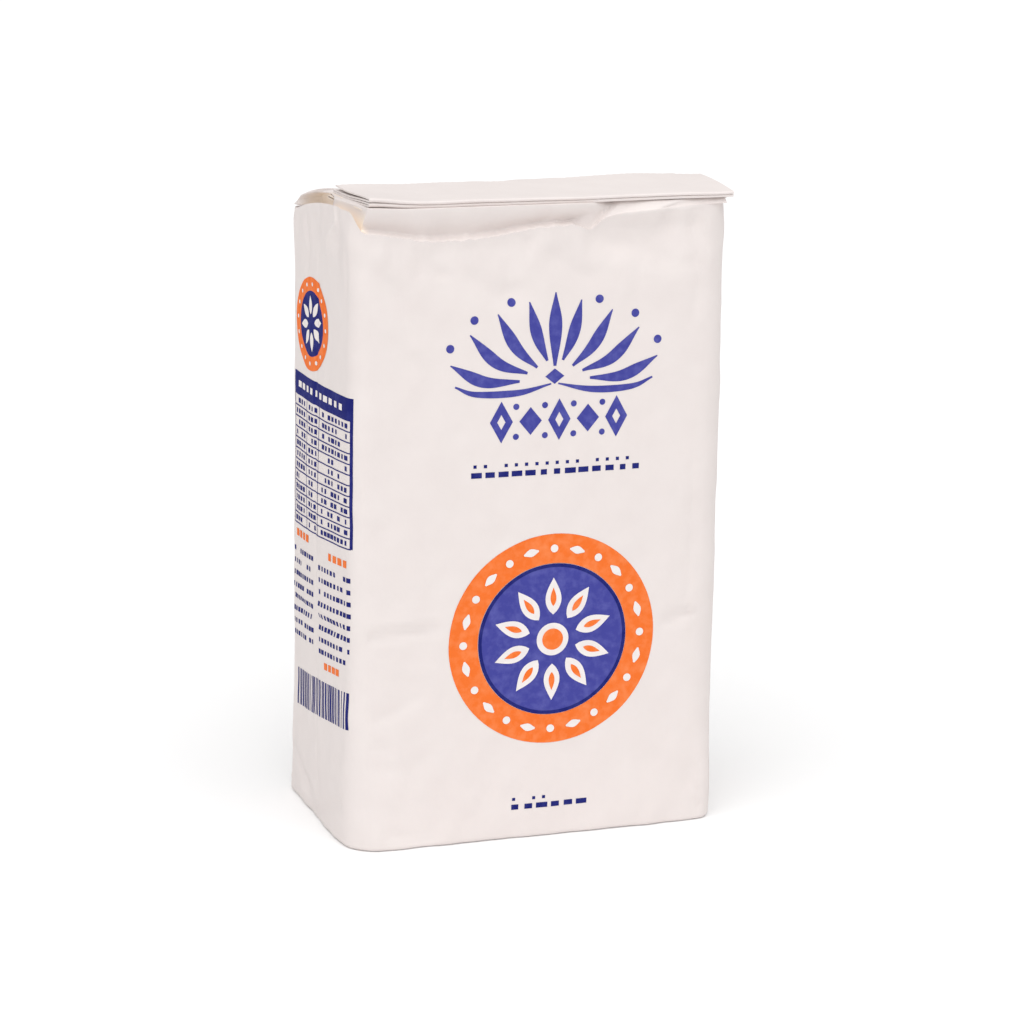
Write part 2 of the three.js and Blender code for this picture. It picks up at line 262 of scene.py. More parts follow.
@dataclass(frozen=True)
class PaperFinish:
    """Bleached kraft paper, machine finished and uncoated.

    It is a warm white with cloudy fibres, matt with a soft satin where it is stretched over the flour.
    Where the attribute "gusset" says so, it is painted a brighter warm cream, which stands in for the
    bounce light in the shaded gable recesses. Its fibres are drawn at 0.9 mm, coarser than real ones,
    so that they show.
    """

    name: str = "bleached_kraft_paper"
    white: str = "EAE2DF"
    cloud: str = "E4DBD8"
    # Painted warm cream, brighter than the paper, that stands in for bounce light in the shaded gable
    # recesses.
    painted_glow_light: str = "FFF7EC"
    painted_glow_cloud: str = "FCECDC"
    smoothest: float = 0.54
    roughest: float = 0.68
    ior: float = 1.47
    gloss: float = 0.2
    fibre_mm: float = 0.9
    fibre_height_mm: float = 0.06
    fibre_strength: float = 0.3
    cloud_mm: float = 9.0
    cockle_mm: float = 6.0
    cockle_height_mm: float = 0.5
    cockle_strength: float = 0.35

    def build(self) -> Material:
        """Makes the material.

        Returns:
            The material, which the attribute "gusset" turns to a painted warm cream that stands in for
            bounce light.
        """
        material, tree, shader, place = new_material(self.name)
        shader.inputs["IOR"].default_value = self.ior
        shader.inputs["Specular IOR Level"].default_value = self.gloss
        fibre, cloud, cockle = (
            add_node(
                tree,
                "ShaderNodeTexNoise",
                {},
                {
                    "Vector": place,
                    "Scale": 1 / (size * MM),
                    "Detail": detail,
                    "Roughness": NOISE_ROUGHNESS,
                },
            ).outputs["Fac"]
            for size, detail in ((self.fibre_mm, 4.0), (self.cloud_mm, 3.0), (self.cockle_mm, 1.0))
        )
        # The plain paper, and the painted warm cream that stands in for bounce light in shaded
        # recesses; both cloudy.
        cloudy, inside = (
            add_node(
                tree,
                "ShaderNodeMix",
                {"data_type": "RGBA"},
                {"Factor": cloud, 6: linear_colour(light), 7: linear_colour(shade)},
            ).outputs[2]
            for light, shade in ((self.white, self.cloud), (self.painted_glow_light, self.painted_glow_cloud))
        )
        # The attribute mixes in the painted warm bounce light.
        gusset = add_node(tree, "ShaderNodeAttribute", {"attribute_name": PAINTED_GLOW}, {}).outputs["Fac"]
        colour = add_node(
            tree, "ShaderNodeMix", {"data_type": "RGBA"}, {"Factor": gusset, 6: cloudy, 7: inside}
        )
        tree.links.new(colour.outputs[2], shader.inputs["Base Color"])
        rough = add_node(
            tree,
            "ShaderNodeMapRange",
            {},
            {"Value": fibre, "To Min": self.smoothest, "To Max": self.roughest},
        )
        tree.links.new(rough.outputs["Result"], shader.inputs["Roughness"])
        soft = add_node(
            tree,
            "ShaderNodeBump",
            {},
            {
                "Strength": self.cockle_strength,
                "Distance": self.cockle_height_mm * MM,
                "Height": cockle,
            },
        )
        fine = add_node(
            tree,
            "ShaderNodeBump",
            {},
            {
                "Strength": self.fibre_strength,
                "Distance": self.fibre_height_mm * MM,
                "Height": fibre,
                "Normal": soft.outputs["Normal"],
            },
        )
        tree.links.new(fine.outputs["Normal"], shader.inputs["Normal"])
        return material


@dataclass(frozen=True)
class InkFinish:
    """Water-based flexographic ink on kraft paper.

    It lies thin and matt on the fibres, a little mottled where the plate pressed unevenly.
    """

    name: str
    colour: str
    worn: str
    roughness: float = 0.7
    gloss: float = 0.05
    mottle_mm: float = 2.4
    worn_from: float = 0.42
    worn_to: float = 0.75
    fibre_mm: float = 0.9
    fibre_height_mm: float = 0.05
    fibre_strength: float = 0.25

    def build(self) -> Material:
        """Makes the material.

        Returns:
            The material.
        """
        material, tree, shader, place = new_material(self.name)
        shader.inputs["Roughness"].default_value = self.roughness
        shader.inputs["Specular IOR Level"].default_value = self.gloss
        mottle, fibre = (
            add_node(
                tree,
                "ShaderNodeTexNoise",
                {},
                {
                    "Vector": place,
                    "Scale": 1 / (size * MM),
                    "Detail": detail,
                    "Roughness": NOISE_ROUGHNESS,
                },
            ).outputs["Fac"]
            for size, detail in ((self.mottle_mm, 5.0), (self.fibre_mm, 4.0))
        )
        share = add_node(
            tree,
            "ShaderNodeMapRange",
            {},
            {"Value": mottle, "From Min": self.worn_from, "From Max": self.worn_to},
        ).outputs["Result"]
        colour = add_node(
            tree,
            "ShaderNodeMix",
            {"data_type": "RGBA"},
            {"Factor": share, 6: linear_colour(self.colour), 7: linear_colour(self.worn)},
        )
        tree.links.new(colour.outputs[2], shader.inputs["Base Color"])
        bump = add_node(
            tree,
            "ShaderNodeBump",
            {},
            {
                "Strength": self.fibre_strength,
                "Distance": self.fibre_height_mm * MM,
                "Height": fibre,
            },
        )
        tree.links.new(bump.outputs["Normal"], shader.inputs["Normal"])
        return material


@dataclass(frozen=True)
class FloorFinish:
    """A matt white studio table: seamless laminate, faintly uneven in tone, without reflections."""

    name: str = "matt_white_laminate"
    white: str = "FCFCFC"
    tint: str = "F9F9F9"
    roughness: float = 0.9
    gloss: float = 0.2
    cloud_mm: float = 300.0

    def build(self) -> Material:
        """Makes the material.

        Returns:
            The material.
        """
        material, tree, shader, place = new_material(self.name)
        shader.inputs["Roughness"].default_value = self.roughness
        shader.inputs["Specular IOR Level"].default_value = self.gloss
        cloud = add_node(
            tree,
            "ShaderNodeTexNoise",
            {},
            {
                "Vector": place,
                "Scale": 1 / (self.cloud_mm * MM),
                "Detail": 2.0,
                "Roughness": NOISE_ROUGHNESS,
            },
        )
        colour = add_node(
            tree,
            "ShaderNodeMix",
            {"data_type": "RGBA"},
            {"Factor": cloud.outputs["Fac"], 6: linear_colour(self.white), 7: linear_colour(self.tint)},
        )
        tree.links.new(colour.outputs[2], shader.inputs["Base Color"])
        return material


class Ink(Enum):
    """The printed colours."""

    VIOLET = InkFinish("blue_violet_flexo_ink", "464899", "5B5DA8")
    NAVY = InkFinish("navy_flexo_ink", "20256F", "32377D")
    ORANGE = InkFinish("orange_flexo_ink", "F17532", "F58A52")
    WHITE = InkFinish("white_flexo_ink", "EEE8E6", "E8E1DF")


@dataclass(frozen=True)
class Crease:
    """A soft crease or ridge pressed into a panel.

    Attributes:
        line: Its corners, as places along the panel (x, or y on the sides) and heights.
        depth: How deep it is beside the others, negative for a ridge.
        width: Its half width.
        gain: What every listed depth is multiplied by.
        end_share: Share of a half wave that is left off at each end of the line.
        end_power: How it fades towards its ends, from 0 for not at all.
    """

    line: tuple[Spot, ...]
    depth: float
    width: float
    gain: float = 2.0
    end_share: float = 0.08
    end_power: float = 0.6

    def inward(self, along: Array, height: Array) -> Array:
        """Measures the crease, which dies out softly to both sides and at both ends.

        Args:
            along: Places along its panel.
            height: Heights.

        Returns:
            How far it pulls the paper in there, gain times its listed depth where it is deepest.
        """
        nearest = np.full(np.shape(along), np.inf)
        ends = np.zeros(np.shape(along))
        lengths = [math.dist(a, b) for a, b in zip(self.line, self.line[1:])]
        total, gone = sum(lengths), 0.0
        for (a0, z0), (a1, z1), length in zip(self.line, self.line[1:], lengths):
            share = ((along - a0) * (a1 - a0) + (height - z0) * (z1 - z0)) / length**2
            share = np.clip(share, 0, 1)
            away = np.hypot(along - lerp(a0, a1, share), height - lerp(z0, z1, share))
            closer = away < nearest
            nearest = np.where(closer, away, nearest)
            ends = np.where(closer, (gone + share * length) / total, ends)
            gone += length
        strength = np.sin(np.pi * lerp(self.end_share, 1 - self.end_share, ends)) ** self.end_power
        return self.gain * self.depth * strength * np.exp(-((nearest / self.width) ** 2))


STRIP_BACK_LIFT: Knots = ((0, 0.6), (0.5, 0.7), (0.8, 1.7), (1, 1.2))
CREASES: dict[Panel, tuple[Crease, ...]] = {
    Panel.FRONT: (
        Crease(((54, 63.2), (46, 62), (40, 60.4), (35.5, 58.6)), 0.42, 1.15),
        Crease(((-30, 62.3), (-38, 61.8), (-55, 61.4)), 0.4, 1.15),
        Crease(((43.4, 108), (44.2, 84), (43, 60)), 0.22, 1.6),
        Crease(((-52, 36), (-42, 39.5), (-34, 43.5)), 0.2, 1.8),
        Crease(((-50, 25), (-38, 23), (-30, 27)), 0.16, 2.2),
        Crease(((53, 65.3), (40, 63.2)), -0.16, 1.6),
        Crease(((-24, 65.1), (-53, 64.2)), -0.14, 1.6),
        Crease(((-52, 31.5), (-45.6, 29.9), (-41, 28.6)), 0.22, 1.5),
        Crease(((-44, 168.6), (-43.2, 162)), 0.22, 1.3),
        Crease(((-36.6, 167), (-35.2, 157.5)), 0.3, 1.7),
        Crease(((-47, 160), (-40, 152), (-38, 143)), 0.3, 2.4),
        Crease(((-43, 140), (-34, 133), (-31, 121)), 0.24, 3.2),
        Crease(((0, 164), (8, 158), (20, 156)), 0.26, 2.4),
        Crease(((22, 170), (27, 159), (24, 150)), 0.22, 2.6),
        Crease(((-24, 160), (-14, 152), (-6, 153.5)), 0.28, 2.6),
        Crease(((42, 168), (45, 156), (42.5, 144)), 0.32, 2.2),
        Crease(((51, 160), (47.5, 150), (50.5, 138)), 0.3, 1.8),
        Crease(((30, 163), (37, 158), (47, 160.5)), 0.26, 2.0),
        Crease(((44.5, 132), (48.6, 124), (46, 112)), 0.24, 1.9),
        Crease(((-31.4, 159.9), (-27.5, 158)), 0.26, 1.8),
        Crease(((-21.3, 167.4), (-20.8, 162)), 0.2, 1.4),
        Crease(((-10.6, 155.5), (-9.4, 152.5)), 0.25, 2.2),
        Crease(((-6, 168.3), (-4.8, 163.4)), 0.24, 1.5),
        Crease(((4.5, 169.6), (5.4, 165.8)), -0.22, 1.2),
        Crease(((12, 168.8), (17.5, 166), (27, 163.5)), 0.3, 2.6),
        Crease(((14, 171.9), (20.5, 173), (31, 173.7), (43, 174.4), (50, 174.6)), -0.14, 0.6),
        Crease(((33.5, 173.4), (35.8, 168.5)), 0.24, 1.6),
        Crease(((41.5, 174), (42.2, 166)), 0.2, 1.5),
        Crease(((46.6, 173.6), (49.4, 169.5)), 0.34, 1.2),
        Crease(((49.6, 173.2), (51.8, 170.6)), -0.3, 1.0),
        Crease(((45.8, 12.2), (50.5, 8.8), (52.6, 3.5)), 0.34, 1.2),
        Crease(((47.2, 6.2), (50.8, 3.2)), 0.26, 1.0),
        Crease(((44.5, 16.5), (51, 14.6)), 0.22, 1.4),
        Crease(((-44.6, 5.6), (-38, 3.4), (-28, 2.8)), 0.25, 1.4),
        Crease(((-46, 52.6), (-38, 51.2), (-31, 50.7)), -0.12, 1.8),
    ),
    Panel.RIGHT: (
        Crease(((31, 58.2), (5, 57), (-31, 62)), 0.35, 1.7),
        Crease(((31, 61), (5, 60), (-31, 64.6)), -0.15, 1.7),
        Crease(((30, 16), (15, 9.2), (0, 2.5)), 0.42, 1.6),
        Crease(((-30, 16), (-15, 9), (0, 2.5)), 0.42, 1.6),
        Crease(((0.5, 171), (0, 66)), 0.24, 1.2),
        Crease(((0, 55), (0, 4)), 0.16, 1.2),
        Crease(((14.5, 169), (12, 158), (14.8, 150)), 0.3, 1.7),
        Crease(((-14, 171), (-12.6, 161)), 0.3, 1.6),
        Crease(((21, 36), (10, 31.4)), 0.25, 1.6),
    ),
    Panel.BACK: (
        Crease(((54, 58), (20, 59.6), (-10, 56.4), (-54, 59.2)), 0.33, 1.6),
        Crease(((38, 168), (36.4, 158)), 0.3, 1.7),
        Crease(((24, 169), (25.5, 161)), 0.26, 1.5),
        Crease(((-8, 169), (-10.5, 158), (-8.4, 150)), 0.3, 1.8),
        Crease(((-34, 168), (-31.5, 160)), 0.26, 1.6),
        Crease(((-46, 28), (-37, 25.4)), 0.25, 1.6),
    ),
    Panel.LEFT: (
        Crease(((31, 59.4), (10, 58.3), (-31, 61.2)), 0.3, 1.6),
        Crease(((31, 62.2), (8, 61), (-31, 63.9)), -0.14, 1.7),
        Crease(((30, 15.5), (18.9, 12.1), (9.1, 7.2), (0, 2.5)), 0.4, 1.5),
        Crease(((-31, 15.8), (-19.8, 10.4), (-9.8, 6.3), (0, 2.5)), 0.34, 1.5),
        Crease(((28, 4.8), (12, 3.6), (0.4, 4.7)), -0.22, 1.1),
        Crease(((0.6, 172), (0.2, 120), (-0.4, 66)), 0.16, 1.1),
        Crease(((-0.4, 56), (0, 5)), 0.12, 1.1),
        Crease(((-12.9, 173.8), (-14.8, 171.2), (-10.1, 167), (-8.2, 162.7)), -0.42, 0.9),
        Crease(((-16.5, 172.6), (-17.5, 168.5), (-14.2, 163.5)), 0.34, 1.6),
        Crease(((14, 168), (10.5, 160), (12, 152)), 0.26, 1.7),
        Crease(((-27.5, 170), (-25.4, 160), (-27, 149)), 0.22, 1.8),
    ),
}


@dataclass
class BagForm:
    """The form of the filled and folded bag, as formulas for the rings of its paper skin.

    A Span gives where a change starts and ends, a Window the spans over which it comes and goes.
    """

    half_width: float = 53.7
    half_depth: float = 30.9
    swell: float = 0.3
    foot_radius: float = 1.4
    base_lean: float = -0.7
    blend_height: float = 40.0
    bulge: dict[Panel, float] = field(
        default_factory=lambda: {Panel.FRONT: 1.0, Panel.RIGHT: 1.1, Panel.BACK: 1.0, Panel.LEFT: 1.1}
    )
    base_radii: dict[Panel, float] = field(
        default_factory=lambda: dict(zip(CORNERS, (4.5, 5.0, 4.5, 11.0)))
    )
    body_radii: dict[Panel, float] = field(
        default_factory=lambda: dict(zip(CORNERS, (10.0, 8.0, 6.5, 5.5)))
    )

    # The crease where the body ends and the folded head begins, and the hollows beside it.
    pinch_depth: float = -0.45
    pinch_height: float = 3.6
    fold_inset: float = 0.1
    shoulder_from: float = 32.0
    shoulder_depth: float = 1.3
    shoulder_foot_share: float = 0.7
    shoulder_rise: Span = (20.0, 90.0)
    tuck_depth: float = 1.9
    tuck_across: Window = ((9.0, 17.0), (32.0, 52.0))
    tuck_down: Window = ((156.0, 168.6), (168.6, 174.0))
    rims: dict[Panel, Knots] = field(
        default_factory=lambda: {
            Panel.FRONT: (
                *((0, 170.1), (0.2, 167.6), (0.36, 168.4), (0.5, 170.3), (0.6, 170.8)),
                *((0.655, 169.2), (0.705, 172.3), (0.78, 173.6), (1, 174.9)),
            ),
            Panel.RIGHT: ((0, 174.7), (1, 171.3)),
            Panel.BACK: ((0, 171.3), (0.5, 172.1), (0.85, 171), (1, 169.2)),
            Panel.LEFT: ((0, 169.1), (0.12, 170.8), (0.5, 174.1), (0.75, 175.2), (1, 175.5)),
        }
    )
    corner_fall: Span = (0.1, 0.8)
    crumples: int = 9
    crumple_lengths: Span = (2.4, 7.5)
    crumple_height: float = 0.055
    crumpled: Window = ((0.01, 0.06), (0.6, 0.66))

    # The soft waviness of the whole sheet, stronger at the head and at the foot.
    waves: int = 30
    wave_lengths: Span = (6.0, 26.0)
    wave_slants: tuple[float, float, float] = (1.0, 1.0, 0.8)
    wave_height: float = 0.095 / 3.3
    body_waviness: float = 0.7
    head_waviness: float = 1.6
    head_waves: Span = (150.0, 172.0)
    foot_waviness: float = 0.7
    foot_waves: Span = (4.0, 20.0)

    # The low roof. Its front rolls out over the crease along the left part, and rises at its end.
    overhang_fades: Span = (0.58, 0.72)
    overhang_starts: Span = (0.16, 1.0)
    overhang_run: Knots = (
        *((0, 0), (0.012, 2.8), (0.05, 3.5), (0.1, 3.1), (0.15, 2.2), (0.2, 1.3)),
        *((0.25, 0.6), (0.3, 0.2), (0.36, 0.05), (0.42, 0.4), (1, 28)),
    )
    plain_run: Knots = ((0, 0), (0.12, 1.5), (0.42, 8), (1, 28))
    overhang_climb: Span = (-0.05, 0.38)
    rim_blend: Span = (0.0, 0.16)
    roof_blend: Span = (0.42, 1.0)
    roof_corner_x: dict[tuple[Panel, int], float] = field(
        default_factory=lambda: {
            (Panel.FRONT, 0): -50.8,
            (Panel.FRONT, 1): 52.6,
            (Panel.BACK, 0): 55.0,
            (Panel.BACK, 1): -55.0,
        }
    )
    roof_end: Spot = (-48.6, 50.4)
    ridge_y: float = -1.1
    ridge_half_gap: float = 1.9
    front_bed: float = 176.4
    front_ridge: float = 176.42
    right_gap: float = 0.1
    right_gap_from: Span = (0.6, 0.75)
    end_rise: float = 0.5
    end_rise_reach: float = 0.07
    back_ridge: float = 176.8
    end_crown: float = 1.6
    middle_crown: float = 1.2
    crown_blend: Span = (0.0, 0.2)
    back_droop: float = 1.2
    droop_reach: float = 0.3
    broad_ripple: Spot = (0.16, 31.0)
    fine_ripple: Spot = (0.1, 57.0)
    ripple_blend: Span = (0.0, 0.3)
    strip_back_lift: Knots = STRIP_BACK_LIFT

    # The gables, whose gussets are tucked in behind a drooping lip.
    gable_corner: float = 0.04
    gable_feet: dict[Panel, Spot] = field(
        default_factory=lambda: {Panel.LEFT: (-52.6, -50.6), Panel.RIGHT: (52.6, 51.6)}
    )
    gable_blend: Span = (0.0, 0.12)
    gable_rise: dict[Panel, float] = field(default_factory=lambda: {Panel.LEFT: 2.3, Panel.RIGHT: 0.0})
    rise_fades: Span = (0.0, 0.5)
    recess_depth: float = 0.9
    slot: Window = ((-2.6, -1.2), (20.0, 24.5))
    slot_opens: Span = (0.03, 0.08)
    slot_top: Span = (-0.45, 0.1)
    lip_underside: Knots = ((-3, 175.4), (3, 175.9), (10, 175.3), (17, 174.2), (25, 171.6))
    lip_drop: float = 0.9
    lip: Window = ((0.015, 0.05), (0.12, 0.3))
    # Where the painted warm tint reaches above and behind the left lip, in the band where shade falls.
    shade_above: Span = (0.1, 0.34)
    shade_behind: Span = (-8.0, -2.0)

    seed: int = 11
    panel_steps: int = 100
    corner_steps: int = 8
    side_steps: int = 90
    number: Array = field(init=False)
    share: Array = field(init=False)
    rim: Array = field(init=False)
    overhang: Array = field(init=False)

    def __post_init__(self) -> None:
        """Lays out the columns: a panel number and a share of it for each."""
        numbers, shares = [], []
        for panel in Panel:
            steps = self.side_steps if panel in (Panel.LEFT, Panel.RIGHT) else self.panel_steps
            if panel in CORNERS:
                part = np.linspace(0, 1, self.corner_steps + 1)[1:-1]
            else:
                part = np.linspace(0, 1, steps + 1)
            numbers += [panel.value] * len(part)
            shares += part.tolist()
        self.number = np.array(numbers)
        self.share = np.array(shares)
        self.rim = self.rim_heights()
        self.overhang = self.overhangs()

    def on(self, panel: Panel) -> Array:
        """Returns which columns belong to a panel."""
        return self.number == panel.value

    def rim_heights(self) -> Array:
        """Returns the height at each column where the body ends and the folded head begins."""
        heights = np.zeros(len(self.share))
        for panel, knots in self.rims.items():
            heights[self.on(panel)] = smooth_line(knots, self.share[self.on(panel)])
        front = self.on(Panel.FRONT)
        heights[front] += self.raggedness(self.share[front])
        for corner in CORNERS:
            before, after = Panel(corner.value - 1), Panel((corner.value + 1) % len(Panel))
            fallen = smoothstep(self.share[self.on(corner)], *self.corner_fall)
            heights[self.on(corner)] = lerp(self.rims[before][-1][1], self.rims[after][0][1], fallen)
        return heights

    def raggedness(self, share: Array) -> Array:
        """Makes the small crumples of the crease under the overhanging head.

        Args:
            share: Places along the front, as shares of it from the left.

        Returns:
            How far the rim is lifted there.
        """
        random = np.random.default_rng(self.seed + 1)
        total = np.zeros_like(share)
        for _ in range(self.crumples):
            wave = random.uniform(*self.crumple_lengths) / (2 * self.half_width)
            total += np.sin(2 * np.pi * share / wave + random.uniform(0, 2 * np.pi))
        return self.crumple_height * total * window(share, self.crumpled)

    def overhangs(self) -> Array:
        """Returns how much the head overhangs each column: 1 along the front's left, 0 elsewhere."""
        amount = np.zeros(len(self.share))
        front, corner = self.on(Panel.FRONT), self.on(Panel.FRONT_LEFT)
        amount[front] = 1 - smoothstep(self.share[front], *self.overhang_fades)
        amount[corner] = smoothstep(self.share[corner], *self.overhang_starts)
        return amount

    def plan(self, z: Array, swell: Array) -> tuple[Array, ...]:
        """Finds the plan place and the outward direction of each column at heights.

        Args:
            z: Heights, one row of columns for each ring.
            swell: How far the body swells there, as a share.

        Returns:
            x, y, outward x and outward y, in rows like z.
        """
        w, d = self.half_width + self.swell * swell, self.half_depth + self.swell * swell
        blend = smoothstep(z, 0, self.blend_height)
        radius = {c: lerp(self.base_radii[c], self.body_radii[c], blend) for c in CORNERS}
        x, y, out_x, out_y = (np.zeros_like(z) for _ in range(4))
        front_right, back_right, back_left, front_left = (radius[c] for c in CORNERS)
        straight = {
            Panel.FRONT: (-w + front_left, w - front_right, -d, (0, -1)),
            Panel.RIGHT: (-d + front_right, d - back_right, w, (1, 0)),
            Panel.BACK: (w - back_right, -w + back_left, d, (0, 1)),
            Panel.LEFT: (d - back_left, -d + front_left, -w, (-1, 0)),
        }
        for panel, (start, end, across, out) in straight.items():
            on = self.on(panel)
            along = lerp(start[:, on], end[:, on], self.share[on])
            runs_in_x = panel in ROOFS
            x[:, on] = along if runs_in_x else across[:, on]
            y[:, on] = across[:, on] if runs_in_x else along
            out_x[:, on], out_y[:, on] = out
        signs = {c: sign for c, sign in zip(CORNERS, ((1, -1), (1, 1), (-1, 1), (-1, -1)))}
        for i, corner in enumerate(CORNERS):
            on = self.on(corner)
            angle = np.radians(-90 + 90 * i + 90 * self.share[on])
            out_x[:, on], out_y[:, on] = np.cos(angle), np.sin(angle)
            r, (sx, sy) = radius[corner][:, on], signs[corner]
            x[:, on] = sx * (w[:, on] - r) + r * np.cos(angle)
            y[:, on] = sy * (d[:, on] - r) + r * np.sin(angle)
        return x, y, out_x, out_y

    def wall(self, z: Array, inset: Array) -> Array:
        """Places the wall's points at heights, one row of columns for each ring.

        Args:
            z: Heights.
            inset: How far in from the wall each ring stands, for the rounded foot.

        Returns:
            The points, in rows like z.
        """
        swell = np.sin(np.pi * z / self.rim)
        x, y, out_x, out_y = self.plan(z, swell)
        out = -inset * np.ones_like(z)
        for panel, amount in self.bulge.items():
            on = self.on(panel)
            out[:, on] += amount * np.sin(np.pi * self.share[on]) * swell[:, on]
        near_rim = np.clip(1 - (self.rim - z) / self.pinch_height, 0, None)
        out -= lerp(self.fold_inset, self.pinch_depth, self.overhang) * near_rim**2
        out -= self.relief(x, y, z)
        lean = self.base_lean * (1 - smoothstep(z, 0, self.blend_height))
        return np.stack([x + lean + out_x * out, y + out_y * out, z], axis=-1)

    def relief(self, x: Array, y: Array, z: Array) -> Array:
        """Adds up what creases, hollows and the paper's own waviness do to the wall.

        Args:
            x: The points' places to the right.
            y: Their places towards the back.
            z: Their heights.

        Returns:
            How far each is pulled in.
        """
        inward = np.zeros_like(z)
        for panel, creases in CREASES.items():
            on = self.on(panel)
            along = (x if panel in ROOFS else y)[:, on]
            for crease in creases:
                inward[:, on] += crease.inward(along, z[:, on])
        shoulder = np.clip((x - self.shoulder_from) / (self.half_width - self.shoulder_from), 0, 1)
        front = self.on(Panel.FRONT)
        high = lerp(self.shoulder_foot_share, 1.0, smoothstep(z, *self.shoulder_rise))
        inward[:, front] += (self.shoulder_depth * shoulder**2 * high)[:, front]
        corner = self.on(Panel.FRONT_RIGHT)
        ends = self.shoulder_depth * high * (shoulder[:, front][:, -1:] ** 2) * (1 - self.share)
        inward[:, corner] += ends[:, corner]
        return inward + self.tuck(x, z) * front + self.waviness(x, y, z)

    def tuck(self, x: Array, z: Array) -> Array:
        """Returns the hollow under the strip's right half, where the head's crease runs out."""
        return self.tuck_depth * window(x, self.tuck_across) * window(z, self.tuck_down)

    def waviness(self, x: Array, y: Array, z: Array) -> Array:
        """Makes a soft seeded waviness, stronger near the folded ends than on the full body.

        Args:
            x: The points' places to the right.
            y: Their places towards the back.
            z: Their heights.

        Returns:
            How far each is pulled in.
        """
        random = np.random.default_rng(self.seed)
        total = np.zeros_like(z)
        for _ in range(self.waves):
            length = random.uniform(*self.wave_lengths)
            axis = random.normal(size=3) * self.wave_slants
            axis *= 2 * np.pi / (length * np.linalg.norm(axis))
            total += np.sin(x * axis[0] + y * axis[1] + z * axis[2] + random.uniform(0, 2 * np.pi))
        head = self.head_waviness * smoothstep(z, *self.head_waves)
        foot = self.foot_waviness * (1 - smoothstep(z, *self.foot_waves))
        return self.wave_height * total * (self.body_waviness + head + foot)

    def ridge_lift(self, across: Array) -> Array:
        """Returns how far the ridge rides up at a share of the width."""
        return smooth_line(self.strip_back_lift, across)

    def front_roof(self, w: float, rim: Array) -> tuple[Array, Array]:
        """Places one line of the front roof, which rolls out over the crease on the left.

        Args:
            w: The share of the way from the rim to the ridge.
            rim: The front's rim points.

        Returns:
            y and z of each of its points.
        """
        on = self.on(Panel.FRONT)
        wave, share = self.overhang[on], self.share[on]
        run = lerp(smooth_line(self.plain_run, w), smooth_line(self.overhang_run, w), wave)
        climb = lerp(smoothstep(w, *self.rim_blend), smoothstep(w, *self.overhang_climb), wave)
        inward = smoothstep(w, *self.roof_blend)
        bed = self.front_bed - self.right_gap * smoothstep(share, *self.right_gap_from)
        bed = bed + self.end_rise * np.exp(-((share / self.end_rise_reach) ** 2))
        top = lerp(bed, self.front_ridge + self.ridge_lift(share), inward)
        y = lerp(rim[:, 1] + run, self.ridge_y - self.ridge_half_gap, inward)
        return y, lerp(rim[:, 2], top, climb)

    def back_roof(self, w: float, rim: Array) -> tuple[Array, Array]:
        """Places one line of the back roof, which is crowned and slightly rippled.

        Args:
            w: The share of the way from the rim to the ridge.
            rim: The back's rim points.

        Returns:
            y and z of each of its points.
        """
        share = self.share[self.on(Panel.BACK)]
        middle = smoothstep(np.minimum(share, 1 - share), *self.crown_blend)
        crown = lerp(self.end_crown, self.middle_crown, middle) * np.sin(np.pi * w)
        droop = np.where(share < 0.5, 0, self.back_droop) * (1 - middle)
        droop = droop * np.sin(np.pi * np.minimum(1, w / self.droop_reach))
        z = lerp(rim[:, 2], self.back_ridge + self.ridge_lift(1 - share), w) + crown - droop
        y = lerp(rim[:, 1], self.ridge_y + self.ridge_half_gap, w) * np.ones_like(z)
        ripple = self.broad_ripple[0] * np.sin(share * self.broad_ripple[1] + 3 * w) * np.sin(np.pi * w)
        ripple = ripple + self.fine_ripple[0] * np.sin(share * self.fine_ripple[1] + 1)
        return y, z + ripple * smoothstep(w, *self.ripple_blend)

    def roof_ring(self, rim: Array, w: float) -> tuple[Array, Array]:
        """Places one ring of the head, part of the way from the rim to the ridge.

        Args:
            rim: The rim's points.
            w: The share of the way.

        Returns:
            The ring's points, and for each how far it is tucked in as part of a gusset.
        """
        ring = np.zeros((len(self.share), 3))
        for panel in ROOFS:
            on = self.on(panel)
            share = self.share[on]
            across = share if panel is Panel.FRONT else 1 - share
            left_end = 0 if panel is Panel.FRONT else 1
            left = lerp(self.roof_corner_x[panel, left_end], self.roof_end[0], w)
            right = lerp(self.roof_corner_x[panel, 1 - left_end], self.roof_end[1], w)
            x = lerp(rim[on, 0], lerp(left, right, across), smoothstep(w, *self.rim_blend))
            slope = self.front_roof if panel is Panel.FRONT else self.back_roof
            y, z = slope(w, rim[on])
            ring[on] = np.stack([x, y, z], axis=-1)
        front, back = ring[self.on(Panel.FRONT)], ring[self.on(Panel.BACK)]
        tucked = np.zeros(len(self.share))
        left = (Panel.BACK_LEFT, Panel.LEFT, Panel.FRONT_LEFT)
        right = (Panel.FRONT_RIGHT, Panel.RIGHT, Panel.BACK_RIGHT)
        self.gable(ring, tucked, w, left, (back[-1], front[0]))
        self.gable(ring, tucked, w, right, (front[-1], back[0]))
        return ring, tucked

